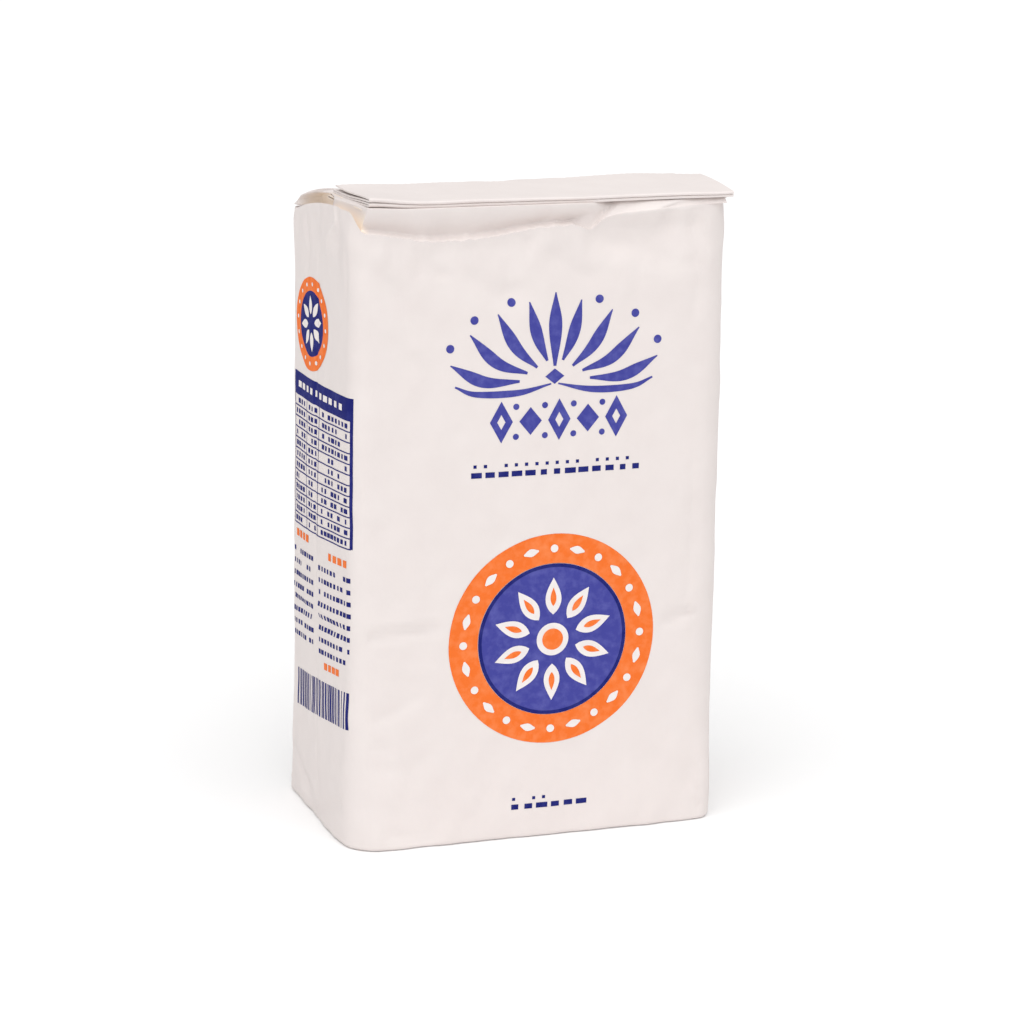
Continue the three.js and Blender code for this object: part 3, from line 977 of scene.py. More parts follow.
    def gable(
        self,
        ring: Array,
        tucked: Array,
        w: float,
        panels: tuple[Panel, Panel, Panel],
        edges: tuple[Array, Array],
    ) -> None:
        """Fills in a gable's points of a ring: a groove behind the lip, and the tucked-in gusset.

        Args:
            ring: The ring's points, changed in place.
            tucked: The share of painted warm bounce light at each point, changed in place.
            w: The share of the way from the rim to the ridge.
            panels: The gable's first corner, side and last corner.
            edges: The roof points between which the gable hangs.
        """
        first, side, last = panels
        is_left = side is Panel.LEFT
        corner = self.gable_corner
        share = np.concatenate(
            [
                corner * self.share[self.on(first)],
                lerp(corner, 1 - corner, self.share[self.on(side)]),
                1 - corner * (1 - self.share[self.on(last)]),
            ]
        )
        columns = np.concatenate([np.flatnonzero(self.on(panel)) for panel in panels])
        points = lerp(edges[0], edges[1], share[:, None])
        from_back = share if is_left else 1 - share
        foot = lerp(*self.gable_feet[side], from_back)
        end = self.roof_end[0] if is_left else self.roof_end[1]
        blend = smoothstep(from_back, *self.gable_blend)
        points[:, 0] = lerp(points[:, 0], lerp(foot, end, w), blend)
        rise = self.gable_rise[side] * (1 - smoothstep(w, *self.rise_fades))
        points[:, 2] += rise * np.sin(np.pi * share) ** 2
        y, z = points[:, 1], points[:, 2]
        slot = window(y, self.slot)
        above = z - smooth_line(self.lip_underside, y)
        drop = window(w, self.lip) * slot
        inside = slot * (1 - smoothstep(above, *self.slot_top)) * smoothstep(w, *self.slot_opens)
        inward = end + self.recess_depth * (1 if is_left else -1)
        points[:, 0] = lerp(points[:, 0], inward, inside)
        points[:, 2] -= self.lip_drop * drop
        ring[columns] = points
        # Painted warm bounce light covers the slot and the dropped lip, and on the left a band behind
        # the lip where shade falls.
        painted_band_behind_lip = (1 - smoothstep(w, *self.shade_above)) * (1 - smoothstep(y, *self.shade_behind))
        tucked[columns] = np.clip(inside + drop + painted_band_behind_lip * is_left, 0, 1)


@dataclass
class PaperSkin:
    """The bag's sheet of paper: foot, walls, roofs and gussets as one closed skin."""

    form: BagForm
    foot_rows: int = 6
    body_rows: int = 96
    upper_rows: int = 26
    upper_from: float = 0.92
    base_hollow: float = 0.35
    base_shares: tuple[float, ...] = (0.08, 0.4, 0.7, 0.9, 0.965)
    hollow_ends: Span = (0.9, 1.0)
    roof_shares: tuple[float, ...] = (
        *np.linspace(0.012, 0.1, 9),
        *np.linspace(0.12, 0.44, 17),
        *np.linspace(0.48, 1.0, 12),
    )

    def build(self, paper: Material) -> Object:
        """Builds the skin and dresses it.

        Args:
            paper: The paper's material.

        Returns:
            The skin's object.
        """
        form = self.form
        angle = np.linspace(0, math.pi / 2, self.foot_rows)[:, None]
        ones = np.ones((1, len(form.share)))
        foot_z = form.foot_radius * (1 - np.cos(angle)) * ones
        foot = form.wall(foot_z, form.foot_radius * (1 - np.sin(angle)) * ones)
        lower = np.linspace(0, self.upper_from, self.body_rows + 1)[1:]
        upper = np.linspace(self.upper_from, 1, self.upper_rows + 1)[1:]
        wall_z = lerp(form.foot_radius, form.rim, np.concatenate([lower, upper])[:, None])
        wall = form.wall(wall_z, np.zeros_like(wall_z))
        base = self.base_rings(foot[0])
        rings = [*base, *foot, *wall]
        tucked = [np.zeros(len(form.share))] * len(rings)
        for w in self.roof_shares:
            ring, inside = form.roof_ring(wall[-1], float(w))
            rings.append(ring)
            tucked.append(inside)
        count = len(form.share)
        middle = rings[0].mean(axis=0)
        vertices = np.concatenate([*rings, middle[None]])
        faces: list[Sequence[int]] = list(grid_faces(len(rings), count, closed=True))
        faces += [(len(vertices) - 1, (i + 1) % count, i) for i in range(count)]
        faces += self.ridge_faces((len(rings) - 1) * count)
        skin = new_object("paper_skin", vertices, faces)
        # Stores the share of painted warm bounce light for the paper's material.
        set_attribute(skin.data, PAINTED_GLOW, np.concatenate([*tucked, [0.0]]))
        skin.data.set_sharp_from_angle(angle=SHARP_ANGLE)
        skin.data.materials.append(paper)
        return skin

    def base_rings(self, foot: Array) -> list[Array]:
        """Makes the rings of the slightly hollow base.

        Args:
            foot: The points where the foot's rounding meets the floor.

        Returns:
            The rings, from the middle out.
        """
        rings = []
        for share in self.base_shares:
            ring = foot * (share, share, 1)
            ring[:, 2] = self.base_hollow * (1 - smoothstep(share, *self.hollow_ends))
            rings.append(ring)
        return rings

    def ridge_faces(self, top: int) -> list[Sequence[int]]:
        """Zips the last ring shut along the ridge.

        Args:
            top: Number of the last ring's first point.

        Returns:
            The point numbers of each face.
        """
        count = len(self.form.share)
        right = np.flatnonzero(self.form.on(Panel.RIGHT))
        middle = int(right[len(right) // 2])
        faces = []
        for step in range(count // 2):
            front0, back0 = top + (middle - step) % count, top + (middle + step) % count
            front1, back1 = top + (middle - step - 1) % count, top + (middle + step + 1) % count
            if front0 != back0:
                faces.append((front0, back0, back1))
            if front1 != back1:
                faces.append((front0, back1, front1))
        return faces


def folded_section(path: Array, half_thickness: float) -> tuple[Array, Array]:
    """Gives a folded sheet its thickness in section.

    Args:
        path: The sheet's middle line, as rows of forward place and height.
        half_thickness: Half of the sheet's thickness.

    Returns:
        Points on the left and on the right of the line, one for each of its points.
    """
    tangent = np.gradient(path, axis=0)
    tangent /= np.linalg.norm(tangent, axis=1, keepdims=True)
    normal = np.stack([-tangent[:, 1], tangent[:, 0]], axis=-1)
    return path + half_thickness * normal, path - half_thickness * normal


def swept_sheet(stations: Array) -> list[tuple[int, int, int, int]]:
    """Joins up a thick sheet swept through stations, with both ends closed.

    Args:
        stations: Points as [station, side (2), place along the section, 3].

    Returns:
        The point numbers of each face.
    """
    count, _, length, _ = stations.shape
    faces = []
    ring = 2 * length
    order = [*range(length), *range(ring - 1, length - 1, -1)]
    for station in range(count - 1):
        for a, b in zip(order, order[1:] + order[:1]):
            low, high = station * ring, (station + 1) * ring
            faces.append((low + a, low + b, high + b, high + a))
    last = (count - 1) * ring
    for i in range(length - 1):
        faces.append((i, length + i, length + i + 1, i + 1))
        faces.append((last + i, last + i + 1, last + length + i + 1, last + length + i))
    return faces


@dataclass
class FoldedStrip:
    """The fin along the ridge, folded over twice into four layers that lie on the front roof."""

    left: float = -49.2
    right: float = 53.2
    front: float = -30.3
    back: float = 1.4
    bottom: float = 176.1
    left_skew: float = -0.7
    right_skew: float = 1.7
    sheet: float = 0.47
    end_sheet: float = 0.43
    full_sheet_from: float = 9.0
    thin_end: float = 0.85
    layers: tuple[float, float, float, float] = (0.24, 0.73, 1.24, 1.74)
    under_setback: float = 1.0
    inner_setback: float = 0.7
    lip_setback: float = 0.25
    loose_setback: float = 2.6
    bend_fullness: float = 0.75
    corner_round: float = 1.6
    corner_along: Span = (0.93, 1.0)
    corner_back: Span = (0.75, 1.0)

    # The upper edge, cut in a zigzag.
    tooth_pitch: float = 1.9
    tooth_depth: float = 0.55
    tooth_reach: float = 2.2

    # How the strip lifts, droops and curls, most of it at the open left end.
    front_lift: Knots = ((0, 0.35), (0.4, 0.2), (1, 0.4))
    back_lift: Knots = STRIP_BACK_LIFT
    droop: float = -0.6
    droop_reach: float = 13.0
    flap: float = 0.35
    flap_reach: float = 20.0
    flare: float = 1.05
    flare_reach: float = 8.0
    flare_low_share: float = 0.6
    flare_forward: Span = (0.3, 1.0)
    right_bow: float = 0.5
    right_bow_from: Span = (0.85, 1.0)
    waves: int = 7
    wave_lengths: Span = (11.0, 46.0)
    wave_phases: Span = (0.0, 6.3)
    wave_slants: Span = (-2.0, 2.0)
    wave_height: float = 0.045
    wave_low_share: float = 0.4

    stations: int = 360
    layer_points: int = 22
    bend_points: int = 9
    seed: int = 5

    def flat_layer(self, start: float, end: float, height: float) -> Array:
        """Returns the points of a flat layer of the section."""
        places = np.linspace(start, end, self.layer_points)
        return np.stack([places, np.full(self.layer_points, height)], axis=-1)

    def bend(self, at: float, under: float, over: float, forward: int) -> Array:
        """Makes the bend between two layers of the section.

        Args:
            at: Where the layers end.
            under: The lower layer's height.
            over: The upper layer's height.
            forward: 1 if the bend stands out to the front, -1 if to the back.

        Returns:
            The bend's points.
        """
        turn = np.linspace(-math.pi / 2, math.pi / 2, self.bend_points)
        radius = (over - under) / 2
        places = at + forward * radius * np.cos(turn) ** self.bend_fullness
        return np.stack([places, (under + over) / 2 + radius * np.sin(turn)], axis=-1)[1:-1]

    def section(self) -> tuple[Array, Array]:
        """Returns the sheet's middle line, back to front, and the layer number of each point."""
        low, second, third, high = self.layers
        front = self.back - self.front - self.sheet
        lower_front = self.back - self.front - self.lip_setback - self.sheet
        parts = (
            (self.flat_layer(self.under_setback, lower_front, low), 0),
            (self.bend(lower_front, low, second, 1), 1),
            (self.flat_layer(lower_front, self.inner_setback, second), 1),
            (self.bend(self.inner_setback, second, third, -1), 2),
            (self.flat_layer(self.inner_setback, front, third), 2),
            (self.bend(front, third, high, 1), 3),
            (self.flat_layer(front, self.loose_setback, high), 3),
        )
        path = np.concatenate([points for points, _ in parts])
        return path, np.concatenate([np.full(len(points), layer) for points, layer in parts])

    def build(self, paper: Material) -> Object:
        """Builds the strip and dresses it.

        Args:
            paper: The paper's material.

        Returns:
            The strip's object.
        """
        path, number = self.section()
        full = np.stack(folded_section(path, self.sheet / 2))
        thin = np.stack(folded_section(path, self.end_sheet / 2))
        depth, length = self.back - self.front, self.right - self.left
        along = np.linspace(0, 1, self.stations)[:, None, None]
        from_left = along * length
        sides = lerp(thin[None], full[None], smoothstep(from_left, 0, self.full_sheet_from)[..., None])
        back_to_front, above = sides[..., 0], sides[..., 1]
        forward = back_to_front / depth
        height = above * lerp(1, self.thin_end, along)
        rounded = smoothstep(along, *self.corner_along) * smoothstep(1 - forward, *self.corner_back)
        x = self.left + from_left + lerp(self.left_skew, self.right_skew, along) * (1 - forward)
        top = (number == 3)[None, None, :]
        tooth = np.abs((from_left / self.tooth_pitch) % 1 - 0.5) * 2 - 0.5
        cut = (-self.loose_setback - self.tooth_reach, -self.loose_setback)
        loose = top * smoothstep(-back_to_front, *cut)
        y = self.back - back_to_front - self.corner_round * rounded + self.tooth_depth * tooth * loose
        lift = lerp(smooth_line(self.back_lift, along), smooth_line(self.front_lift, along), forward)
        droop = self.droop * np.exp(-((from_left / self.droop_reach) ** 2)) * (1 - forward) * (1 - top)
        flap = self.flap * np.exp(-((from_left / self.flap_reach) ** 2)) * (1 - forward) * top
        raised = lerp(self.flare_low_share, 1.0, number[None, None, :] / 3)
        curl = self.flare * raised * np.exp(-((from_left / self.flare_reach) ** 2))
        curl = curl * smoothstep(forward, *self.flare_forward)
        bow = self.right_bow * np.sin(np.pi * forward) * smoothstep(along, *self.right_bow_from)
        wave = self.waviness(from_left, forward) * lerp(self.wave_low_share, 1.0, top)
        z = self.bottom + height + lift + droop + flap + curl + bow + wave
        shape = np.broadcast_shapes(x.shape, y.shape, z.shape)
        stations = np.stack([np.broadcast_to(part, shape) for part in (x, y, z)], axis=-1)
        strip = new_object("folded_strip", stations.reshape(-1, 3), swept_sheet(stations))
        strip.data.set_sharp_from_angle(angle=SHARP_ANGLE)
        strip.data.materials.append(paper)
        return strip

    def waviness(self, from_left: Array, forward: Array) -> Array:
        """Makes the strip's slight waviness along its length.

        Args:
            from_left: Places from its left end.
            forward: Places from its back to its front, as shares.

        Returns:
            How far it rises there.
        """
        random = np.random.default_rng(self.seed)
        total = np.zeros(np.broadcast_shapes(from_left.shape, forward.shape))
        for _ in range(self.waves):
            length = random.uniform(*self.wave_lengths)
            phase, slant = random.uniform(*self.wave_phases), random.uniform(*self.wave_slants)
            total += np.sin(2 * np.pi * from_left / length + phase + slant * forward)
        return self.wave_height * total


@dataclass
class GussetLayers:
    """The inner sheets of the folded fin, which show as small loops at the open left end."""

    left: float = -50.3
    right: float = -42.0
    stagger: float = 0.35
    sheet: float = 0.34
    ripple: float = 0.12
    # The share of painted warm bounce light on the loops, which sit in shade.
    shade: float = 0.75
    stations: int = 16
    path_points: int = 44
    paths: tuple[tuple[Spot, ...], ...] = (
        ((-26.5, 176.0), (-14, 175.75), (-3.2, 175.5), (-1.6, 175.15), (-3, 174.85), (-12, 174.95)),
        ((-24, 175.4), (-8, 175.2), (2.4, 175.25), (3.9, 175.7), (2.2, 176.15), (-8, 176.2)),
        ((-20, 174.6), (-6, 174.5), (5.6, 174.2), (7.6, 174.5), (6, 174.9), (-2, 174.9)),
    )

    def build(self, paper: Material) -> Object:
        """Builds the sheets as one piece.

        Args:
            paper: The paper's material.

        Returns:
            The sheets' object.
        """
        vertices, faces, start = [], [], 0
        along = np.linspace(0, 1, self.stations)[:, None, None]
        for i, path in enumerate(self.paths):
            line = resampled(np.array(path), self.path_points)
            sides = np.stack(folded_section(line, self.sheet / 2))
            shape = (self.stations, 2, len(line))
            x = self.left + self.stagger * i + along * (self.right - self.left)
            z = sides[None, :, :, 1] + self.ripple * np.sin(along * 5 + i)
            parts = (x, sides[None, :, :, 0], z)
            stations = np.stack([np.broadcast_to(part, shape) for part in parts], axis=-1)
            vertices.append(stations.reshape(-1, 3))
            faces += [tuple(start + corner for corner in face) for face in swept_sheet(stations)]
            start += stations.size // 3
        layers = new_object("gusset_layers", np.concatenate(vertices), faces)
        layers.data.set_sharp_from_angle(angle=SHARP_ANGLE)
        # Paints the loops with warm bounce light through the paper's material.
        set_attribute(layers.data, PAINTED_GLOW, np.full(start, self.shade))
        layers.data.materials.append(paper)
        return layers


def resampled(corners: Array, count: int) -> Array:
    """Draws a smooth curve through corners.

    Args:
        corners: The corners, one row each.
        count: How many points the curve gets.

    Returns:
        The curve's points, one row each.
    """
    before, after = 2 * corners[:1] - corners[1:2], 2 * corners[-1:] - corners[-2:-1]
    padded = np.concatenate([before, corners, after])
    steps = len(corners) - 1
    at = np.linspace(0, steps, count)
    i = np.minimum(at.astype(int), steps - 1)
    t = (at - i)[:, None]
    p0, p1, p2, p3 = (padded[i + k] for k in range(4))
    bend = 2 * p1 + (p2 - p0) * t + (2 * p0 - 5 * p1 + 4 * p2 - p3) * t**2
    return 0.5 * (bend + (3 * p1 - p0 - 3 * p2 + p3) * t**3)


@dataclass(frozen=True)
class Face:
    """A flat side of the bag that something is laid on.

    Attributes:
        origin: Where rays start that find the paper.
        right: The direction that runs to the right as the side is looked at.
        ray: The direction of the rays, into the side.
    """

    origin: tuple[float, float, float]
    right: tuple[float, float, float]
    ray: tuple[float, float, float]

    def standing(self, flat: Array) -> Array:
        """Stands a flat drawing up before the side.

        Args:
            flat: Its points, as rows of right and up.

        Returns:
            The points in space.
        """
        points = np.array(self.origin) + flat[:, :1] * np.array(self.right)
        points[:, 2] += flat[:, 1]
        return points


class Side(Enum):
    """The sides of the bag that carry print or a seam."""

    FRONT = Face((0.0, -60.0, 0.0), (1.0, 0.0, 0.0), (0.0, 1.0, 0.0))
    LEFT = Face((-90.0, 0.0, 0.0), (0.0, -1.0, 0.0), (1.0, 0.0, 0.0))
    BACK = Face((0.0, 60.0, 0.0), (-1.0, 0.0, 0.0), (0.0, -1.0, 0.0))


def new_tree(name: str, inputs: Mapping[str, str]) -> NodeTree:
    """Starts a Geometry Nodes tree that gives out a mesh.

    Args:
        name: Its name.
        inputs: The kind of each of its named inputs.

    Returns:
        The tree, with its inputs and its output.
    """
    tree = bpy.data.node_groups.new(name, "GeometryNodeTree")
    for title, kind in inputs.items():
        tree.interface.new_socket(title, in_out="INPUT", socket_type=f"NodeSocket{kind}")
    tree.interface.new_socket("Mesh", in_out="OUTPUT", socket_type="NodeSocketGeometry")
    return tree


def end_tree(tree: NodeTree, made: NodeSocket, finish: NodeSocket) -> None:
    """Ends a tree: makes its instances real, sets their material and gives them out.

    Args:
        tree: The tree.
        made: What it made.
        finish: The material.
    """
    real = add_node(tree, "GeometryNodeRealizeInstances", {}, {"Geometry": made})
    inputs = {"Geometry": real.outputs["Geometry"], "Material": finish}
    dressed = add_node(tree, "GeometryNodeSetMaterial", {}, inputs)
    add_node(tree, "NodeGroupOutput", {}, {"Mesh": dressed.outputs["Geometry"]})


def wrapping_tree() -> NodeTree:
    """Makes the tree that lays a flat mesh onto the paper, each point lifted by its attribute "lift".

    Returns:
        The tree.
    """
    inputs = {"Flat Mesh": "Geometry", "Paper": "Object", "Ray": "Vector", "Finish": "Material"}
    tree = new_tree("wrap_onto_paper", inputs)
    given = add_node(tree, "NodeGroupInput", {}, {}).outputs
    paper = add_node(tree, "GeometryNodeObjectInfo", {}, {"Object": given["Paper"]})
    hit = add_node(
        tree,
        "GeometryNodeRaycast",
        {},
        {
            "Target Geometry": paper.outputs["Geometry"],
            "Ray Direction": given["Ray"],
            "Ray Length": RAY_LENGTH,
        },
    )
    lift = add_node(tree, "GeometryNodeInputNamedAttribute", {"data_type": "FLOAT"}, {"Name": LIFT})
    rise = add_node(
        tree,
        "ShaderNodeVectorMath",
        {"operation": "SCALE"},
        {0: hit.outputs["Hit Normal"], "Scale": lift.outputs["Attribute"]},
    )
    laid = add_node(
        tree,
        "ShaderNodeVectorMath",
        {"operation": "ADD"},
        {0: hit.outputs["Hit Position"], 1: rise.outputs["Vector"]},
    )
    moved = add_node(
        tree,
        "GeometryNodeSetPosition",
        {},
        {
            "Geometry": given["Flat Mesh"],
            "Selection": hit.outputs["Is Hit"],
            "Position": laid.outputs["Vector"],
        },
    )
    end_tree(tree, moved.outputs["Geometry"], given["Finish"])
    return tree


def bar_rows_tree() -> NodeTree:
    """Makes the tree of rows of small printed bars, uneven in length, with some left out.

    Returns:
        The tree.
    """
    inputs = {
        "Columns": "Int",
        "Rows": "Int",
        "Column Pitch": "Float",
        "Row Pitch": "Float",
        "Bar Width": "Float",
        "Bar Height": "Float",
        "Unevenness": "Float",
        "Left Out": "Float",
        "Seed": "Int",
        "Finish": "Material",
    }
    tree = new_tree("rows_of_printed_bars", inputs)
    given = add_node(tree, "NodeGroupInput", {}, {}).outputs
    spans = {}
    for count, pitch in (("Columns", "Column Pitch"), ("Rows", "Row Pitch")):
        gaps = add_node(tree, "ShaderNodeMath", {"operation": "SUBTRACT"}, {0: given[count], 1: 1.0})
        span = add_node(
            tree, "ShaderNodeMath", {"operation": "MULTIPLY"}, {0: gaps.outputs[0], 1: given[pitch]}
        )
        spans[count] = span.outputs[0]
    places = add_node(
        tree,
        "GeometryNodeMeshGrid",
        {},
        {
            "Size X": spans["Columns"],
            "Size Y": spans["Rows"],
            "Vertices X": given["Columns"],
            "Vertices Y": given["Rows"],
        },
    )
    bar = add_node(
        tree,
        "GeometryNodeMeshGrid",
        {},
        {
            "Size X": given["Bar Width"],
            "Size Y": given["Bar Height"],
            "Vertices X": 5,
            "Vertices Y": 3,
        },
    )
    shortest = add_node(
        tree, "ShaderNodeMath", {"operation": "SUBTRACT"}, {0: 1.0, 1: given["Unevenness"]}
    ).outputs[0]
    length = add_node(
        tree,
        "FunctionNodeRandomValue",
        {"data_type": "FLOAT"},
        {2: shortest, 3: 1.0, "Seed": given["Seed"]},
    )
    next_seed = add_node(tree, "ShaderNodeMath", {"operation": "ADD"}, {0: given["Seed"], 1: 1.0})
    kept = add_node(
        tree,
        "FunctionNodeRandomValue",
        {"data_type": "FLOAT"},
        {2: 0.0, 3: 1.0, "Seed": next_seed.outputs[0]},
    )
    shown = add_node(
        tree,
        "FunctionNodeCompare",
        {"data_type": "FLOAT", "operation": "GREATER_EQUAL"},
        {0: kept.outputs[1], 1: given["Left Out"]},
    )
    scale = add_node(tree, "ShaderNodeCombineXYZ", {}, {"X": length.outputs[1], "Y": 1.0, "Z": 1.0})
    placed = add_node(
        tree,
        "GeometryNodeInstanceOnPoints",
        {},
        {
            "Points": places.outputs["Mesh"],
            "Selection": shown.outputs[0],
            "Instance": bar.outputs["Mesh"],
            "Scale": scale.outputs[0],
        },
    )
    end_tree(tree, placed.outputs["Instances"], given["Finish"])
    return tree


def petal_ring_tree() -> NodeTree:
    """Makes the tree of a ring of pointed petals round the origin.

    Returns:
        The tree.
    """
    inputs = {
        "Petals": "Int",
        "Radius": "Float",
        "Petal Length": "Float",
        "Petal Width": "Float",
        "Turn": "Float",
        "Finish": "Material",
    }
    tree = new_tree("ring_of_petals", inputs)
    given = add_node(tree, "NodeGroupInput", {}, {}).outputs
    blank = add_node(
        tree,
        "GeometryNodeMeshGrid",
        {},
        {"Size X": 1.0, "Size Y": 1.0, "Vertices X": 7, "Vertices Y": 13},
    )
    place = add_node(tree, "GeometryNodeInputPosition", {}, {})
    parts = add_node(tree, "ShaderNodeSeparateXYZ", {}, {0: place.outputs[0]}).outputs
    points = add_node(tree, "GeometryNodePoints", {}, {"Count": given["Petals"]})
    index = add_node(tree, "GeometryNodeInputIndex", {}, {})
    results: dict[str, NodeSocket] = {}
    for name, operation, values in (
        ("up", "ADD", (parts["Y"], 0.5)),
        ("fuller", "POWER", ("up", 0.8)),
        ("bow", "MULTIPLY", ("fuller", math.pi)),
        ("belly", "SINE", ("bow",)),
        ("across", "MULTIPLY", (parts["X"], given["Petal Width"])),
        ("wide", "MULTIPLY", ("across", "belly")),
        ("outward", "MULTIPLY", ("up", given["Petal Length"])),
        ("tall", "ADD", (given["Radius"], "outward")),
        ("step", "DIVIDE", (2 * math.pi, given["Petals"])),
        ("round", "MULTIPLY", (index.outputs[0], "step")),
        ("angle", "ADD", ("round", given["Turn"])),
    ):
        terms = {i: results[v] if isinstance(v, str) else v for i, v in enumerate(values)}
        results[name] = add_node(tree, "ShaderNodeMath", {"operation": operation}, terms).outputs[0]
    outline = add_node(tree, "ShaderNodeCombineXYZ", {}, {"X": results["wide"], "Y": results["tall"]})
    shaped = add_node(
        tree,
        "GeometryNodeSetPosition",
        {},
        {"Geometry": blank.outputs["Mesh"], "Position": outline.outputs[0]},
    )
    turn = add_node(tree, "ShaderNodeCombineXYZ", {}, {"Z": results["angle"]})
    placed = add_node(
        tree,
        "GeometryNodeInstanceOnPoints",
        {},
        {
            "Points": points.outputs[0],
            "Instance": shaped.outputs["Geometry"],
            "Rotation": turn.outputs[0],
        },
    )
    end_tree(tree, placed.outputs["Instances"], given["Finish"])
    return tree


def lay_on(sheet: Object, face: Face, paper: Object, finish: Material, wrapping: NodeTree) -> None:
    """Lays a flat mesh onto the paper, with all its faces turned outwards.

    Args:
        sheet: The flat mesh, whose points carry their lift.
        face: The side of the bag that it stands before.
        paper: The skin.
        finish: Its material.
        wrapping: The tree that lays it on.
    """
    run_modifier(sheet, wrapping, {"Paper": paper, "Ray": face.ray, "Finish": finish})
    sheet.data.shade_smooth()
    sheet.data.update()
    ray = Vector(face.ray)
    for part in [part for part in sheet.data.polygons if part.normal.dot(ray) > 0]:
        part.flip()
    sheet.data.update()


class Lift(Enum):
    """How far layers of print stand off the paper.

    Real ink is thinner. It is laid on this thick so that no layer sinks into the one below.
    """

    FIRST = 0.06
    SECOND = 0.09
    THIRD = 0.12
    FOURTH = 0.15


@dataclass
class Artwork:
    """Flat printed shapes on one side, in places to the right and up, before they are wrapped on.

    Attributes:
        side: The side that they lie on.
        ink: Their ink.
        lift: Their layer.
        step: About how far apart their points lie.
        stretch: How much round shapes and rows of bars are widened.
    """

    side: Side
    ink: Ink
    lift: Lift
    vertices: list[Array] = field(default_factory=list)
    faces: list[tuple[int, ...]] = field(default_factory=list)
    count: int = 0
    step: float = 1.0
    stretch: float = 1.0
    stroke_step: float = 0.7
    smallest_ring: float = 0.01
    small_radius: float = 2.0
    small_segments: int = 20
    disc_segments: int = 96
    lozenge_segments: int = 48

    def add(self, points: Array, faces: Sequence[Sequence[int]]) -> None:
        """Adds a flat mesh.

        Args:
            points: Its points, as rows of right and up.
            faces: The point numbers of each face.
        """
        self.vertices.append(np.asarray(points, float))
        self.faces += [tuple(self.count + corner for corner in face) for face in faces]
        self.count += len(points)

    def polar(self, at: Spot, outline: Callable[[Array], Array], inner: float, segments: int) -> None:
        """Adds a round shape.

        Args:
            at: Its centre.
            outline: The radius at angles in radians.
            inner: Share of the radius that is left open in the middle.
            segments: How many steps go round it.
        """
        angle = np.linspace(0, 2 * np.pi, segments, endpoint=False)
        radius = np.broadcast_to(outline(angle), angle.shape)
        rings = max(2, math.ceil(float(radius.max()) * (1 - inner) / self.step) + 1)
        shares = np.linspace(max(inner, self.smallest_ring), 1, rings)[:, None]
        x = at[0] + shares * radius * np.cos(angle) * self.stretch
        y = at[1] + shares * radius * np.sin(angle)
        points = np.stack([x, y], axis=-1).reshape(-1, 2)
        faces = grid_faces(rings, segments, closed=True)
        faces = [tuple(reversed(quad)) for quad in faces]
        if inner == 0:
            faces.append(tuple(range(segments)))
        self.add(points, faces)

    def disc(self, at: Spot, radius: float, inner: float = 0.0) -> None:
        """Adds a disc, or a ring if inner is more than 0."""
        segments = self.small_segments if radius < self.small_radius else self.disc_segments
        self.polar(at, lambda angle: np.full(angle.shape, radius), inner, segments)

    def lozenge(self, at: Spot, width: float, height: float, inner: float = 0.0) -> None:
        """Adds a lozenge, open in the middle if inner is more than 0."""
        self.polar(
            at,
            lambda a: 1 / (np.abs(np.cos(a)) / (width / 2) + np.abs(np.sin(a)) / (height / 2)),
            inner,
            self.lozenge_segments,
        )

    def bar(self, at: Spot, width: float, height: float) -> None:
        """Adds an upright bar.

        Args:
            at: Its centre.
            width: Its width.
            height: Its height.
        """
        across, up = max(2, round(width / self.step) + 1), max(2, round(height / self.step) + 1)
        x = at[0] + np.linspace(-width / 2, width / 2, across)
        y = at[1] + np.linspace(-height / 2, height / 2, up)
        grid = np.stack(np.meshgrid(x, y), axis=-1).reshape(-1, 2)
        self.add(grid, grid_faces(up, across))

    def stroke(self, corners: Sequence[Spot], widths: Knots) -> None:
        """Adds a brushed stroke.

        Args:
            corners: Points that it runs smoothly through.
            widths: Its width at shares of its length.
        """
        rough = np.array(corners, float)
        length = float(np.linalg.norm(np.diff(rough, axis=0), axis=1).sum())
        count = max(8, round(length / (self.stroke_step * self.step)))
        line = resampled(rough, count)
        tangent = np.gradient(line, axis=0)
        tangent /= np.linalg.norm(tangent, axis=1, keepdims=True)
        half = smooth_line(widths, np.linspace(0, 1, count)) / 2
        normal = np.stack([-tangent[:, 1], tangent[:, 0]], axis=-1)
        across = max(2, math.ceil(2 * float(half.max()) / self.step) + 1)
        shares = np.linspace(1, -1, across)
        points = line[:, None] + shares[None, :, None] * (half[:, None] * normal)[:, None]
        faces = [tuple(quad) for quad in grid_faces(count, across)]
        self.add(points.reshape(-1, 2), faces)

    def from_tree(self, tree: NodeTree, values: Mapping[str, object], at: Spot) -> None:
        """Adds what a Geometry Nodes tree makes in millimetres round the origin.

        Args:
            tree: The tree.
            values: A value for each of its named inputs.
            at: Where its origin is moved.
        """
        maker = new_object("flat_print", np.zeros((1, 3)), [])
        run_modifier(maker, tree, values)
        mesh = maker.data
        places = np.zeros(len(mesh.vertices) * 3)
        mesh.vertices.foreach_get("co", places)
        flat = places.reshape(-1, 3)[:, :2] * (self.stretch, 1.0) + at
        self.add(flat, [tuple(face.vertices) for face in mesh.polygons])
        bpy.data.objects.remove(maker)
        bpy.data.meshes.remove(mesh)

    def wrap(self, name: str, paper: Object, wrapping: NodeTree) -> Object:
        """Lays the shapes onto the paper.

        Args:
            name: The printed piece's name.
            paper: The skin.
            wrapping: The tree that lays a flat mesh onto it.

        Returns:
            The printed piece.
        """
        flat = np.concatenate(self.vertices)
        finish = bpy.data.materials[self.ink.value.name]
        made = new_object(name, self.side.value.standing(flat), self.faces)
        set_attribute(made.data, LIFT, np.full(len(flat), self.lift.value * MM))
        lay_on(made, self.side.value, paper, finish, wrapping)
        return made


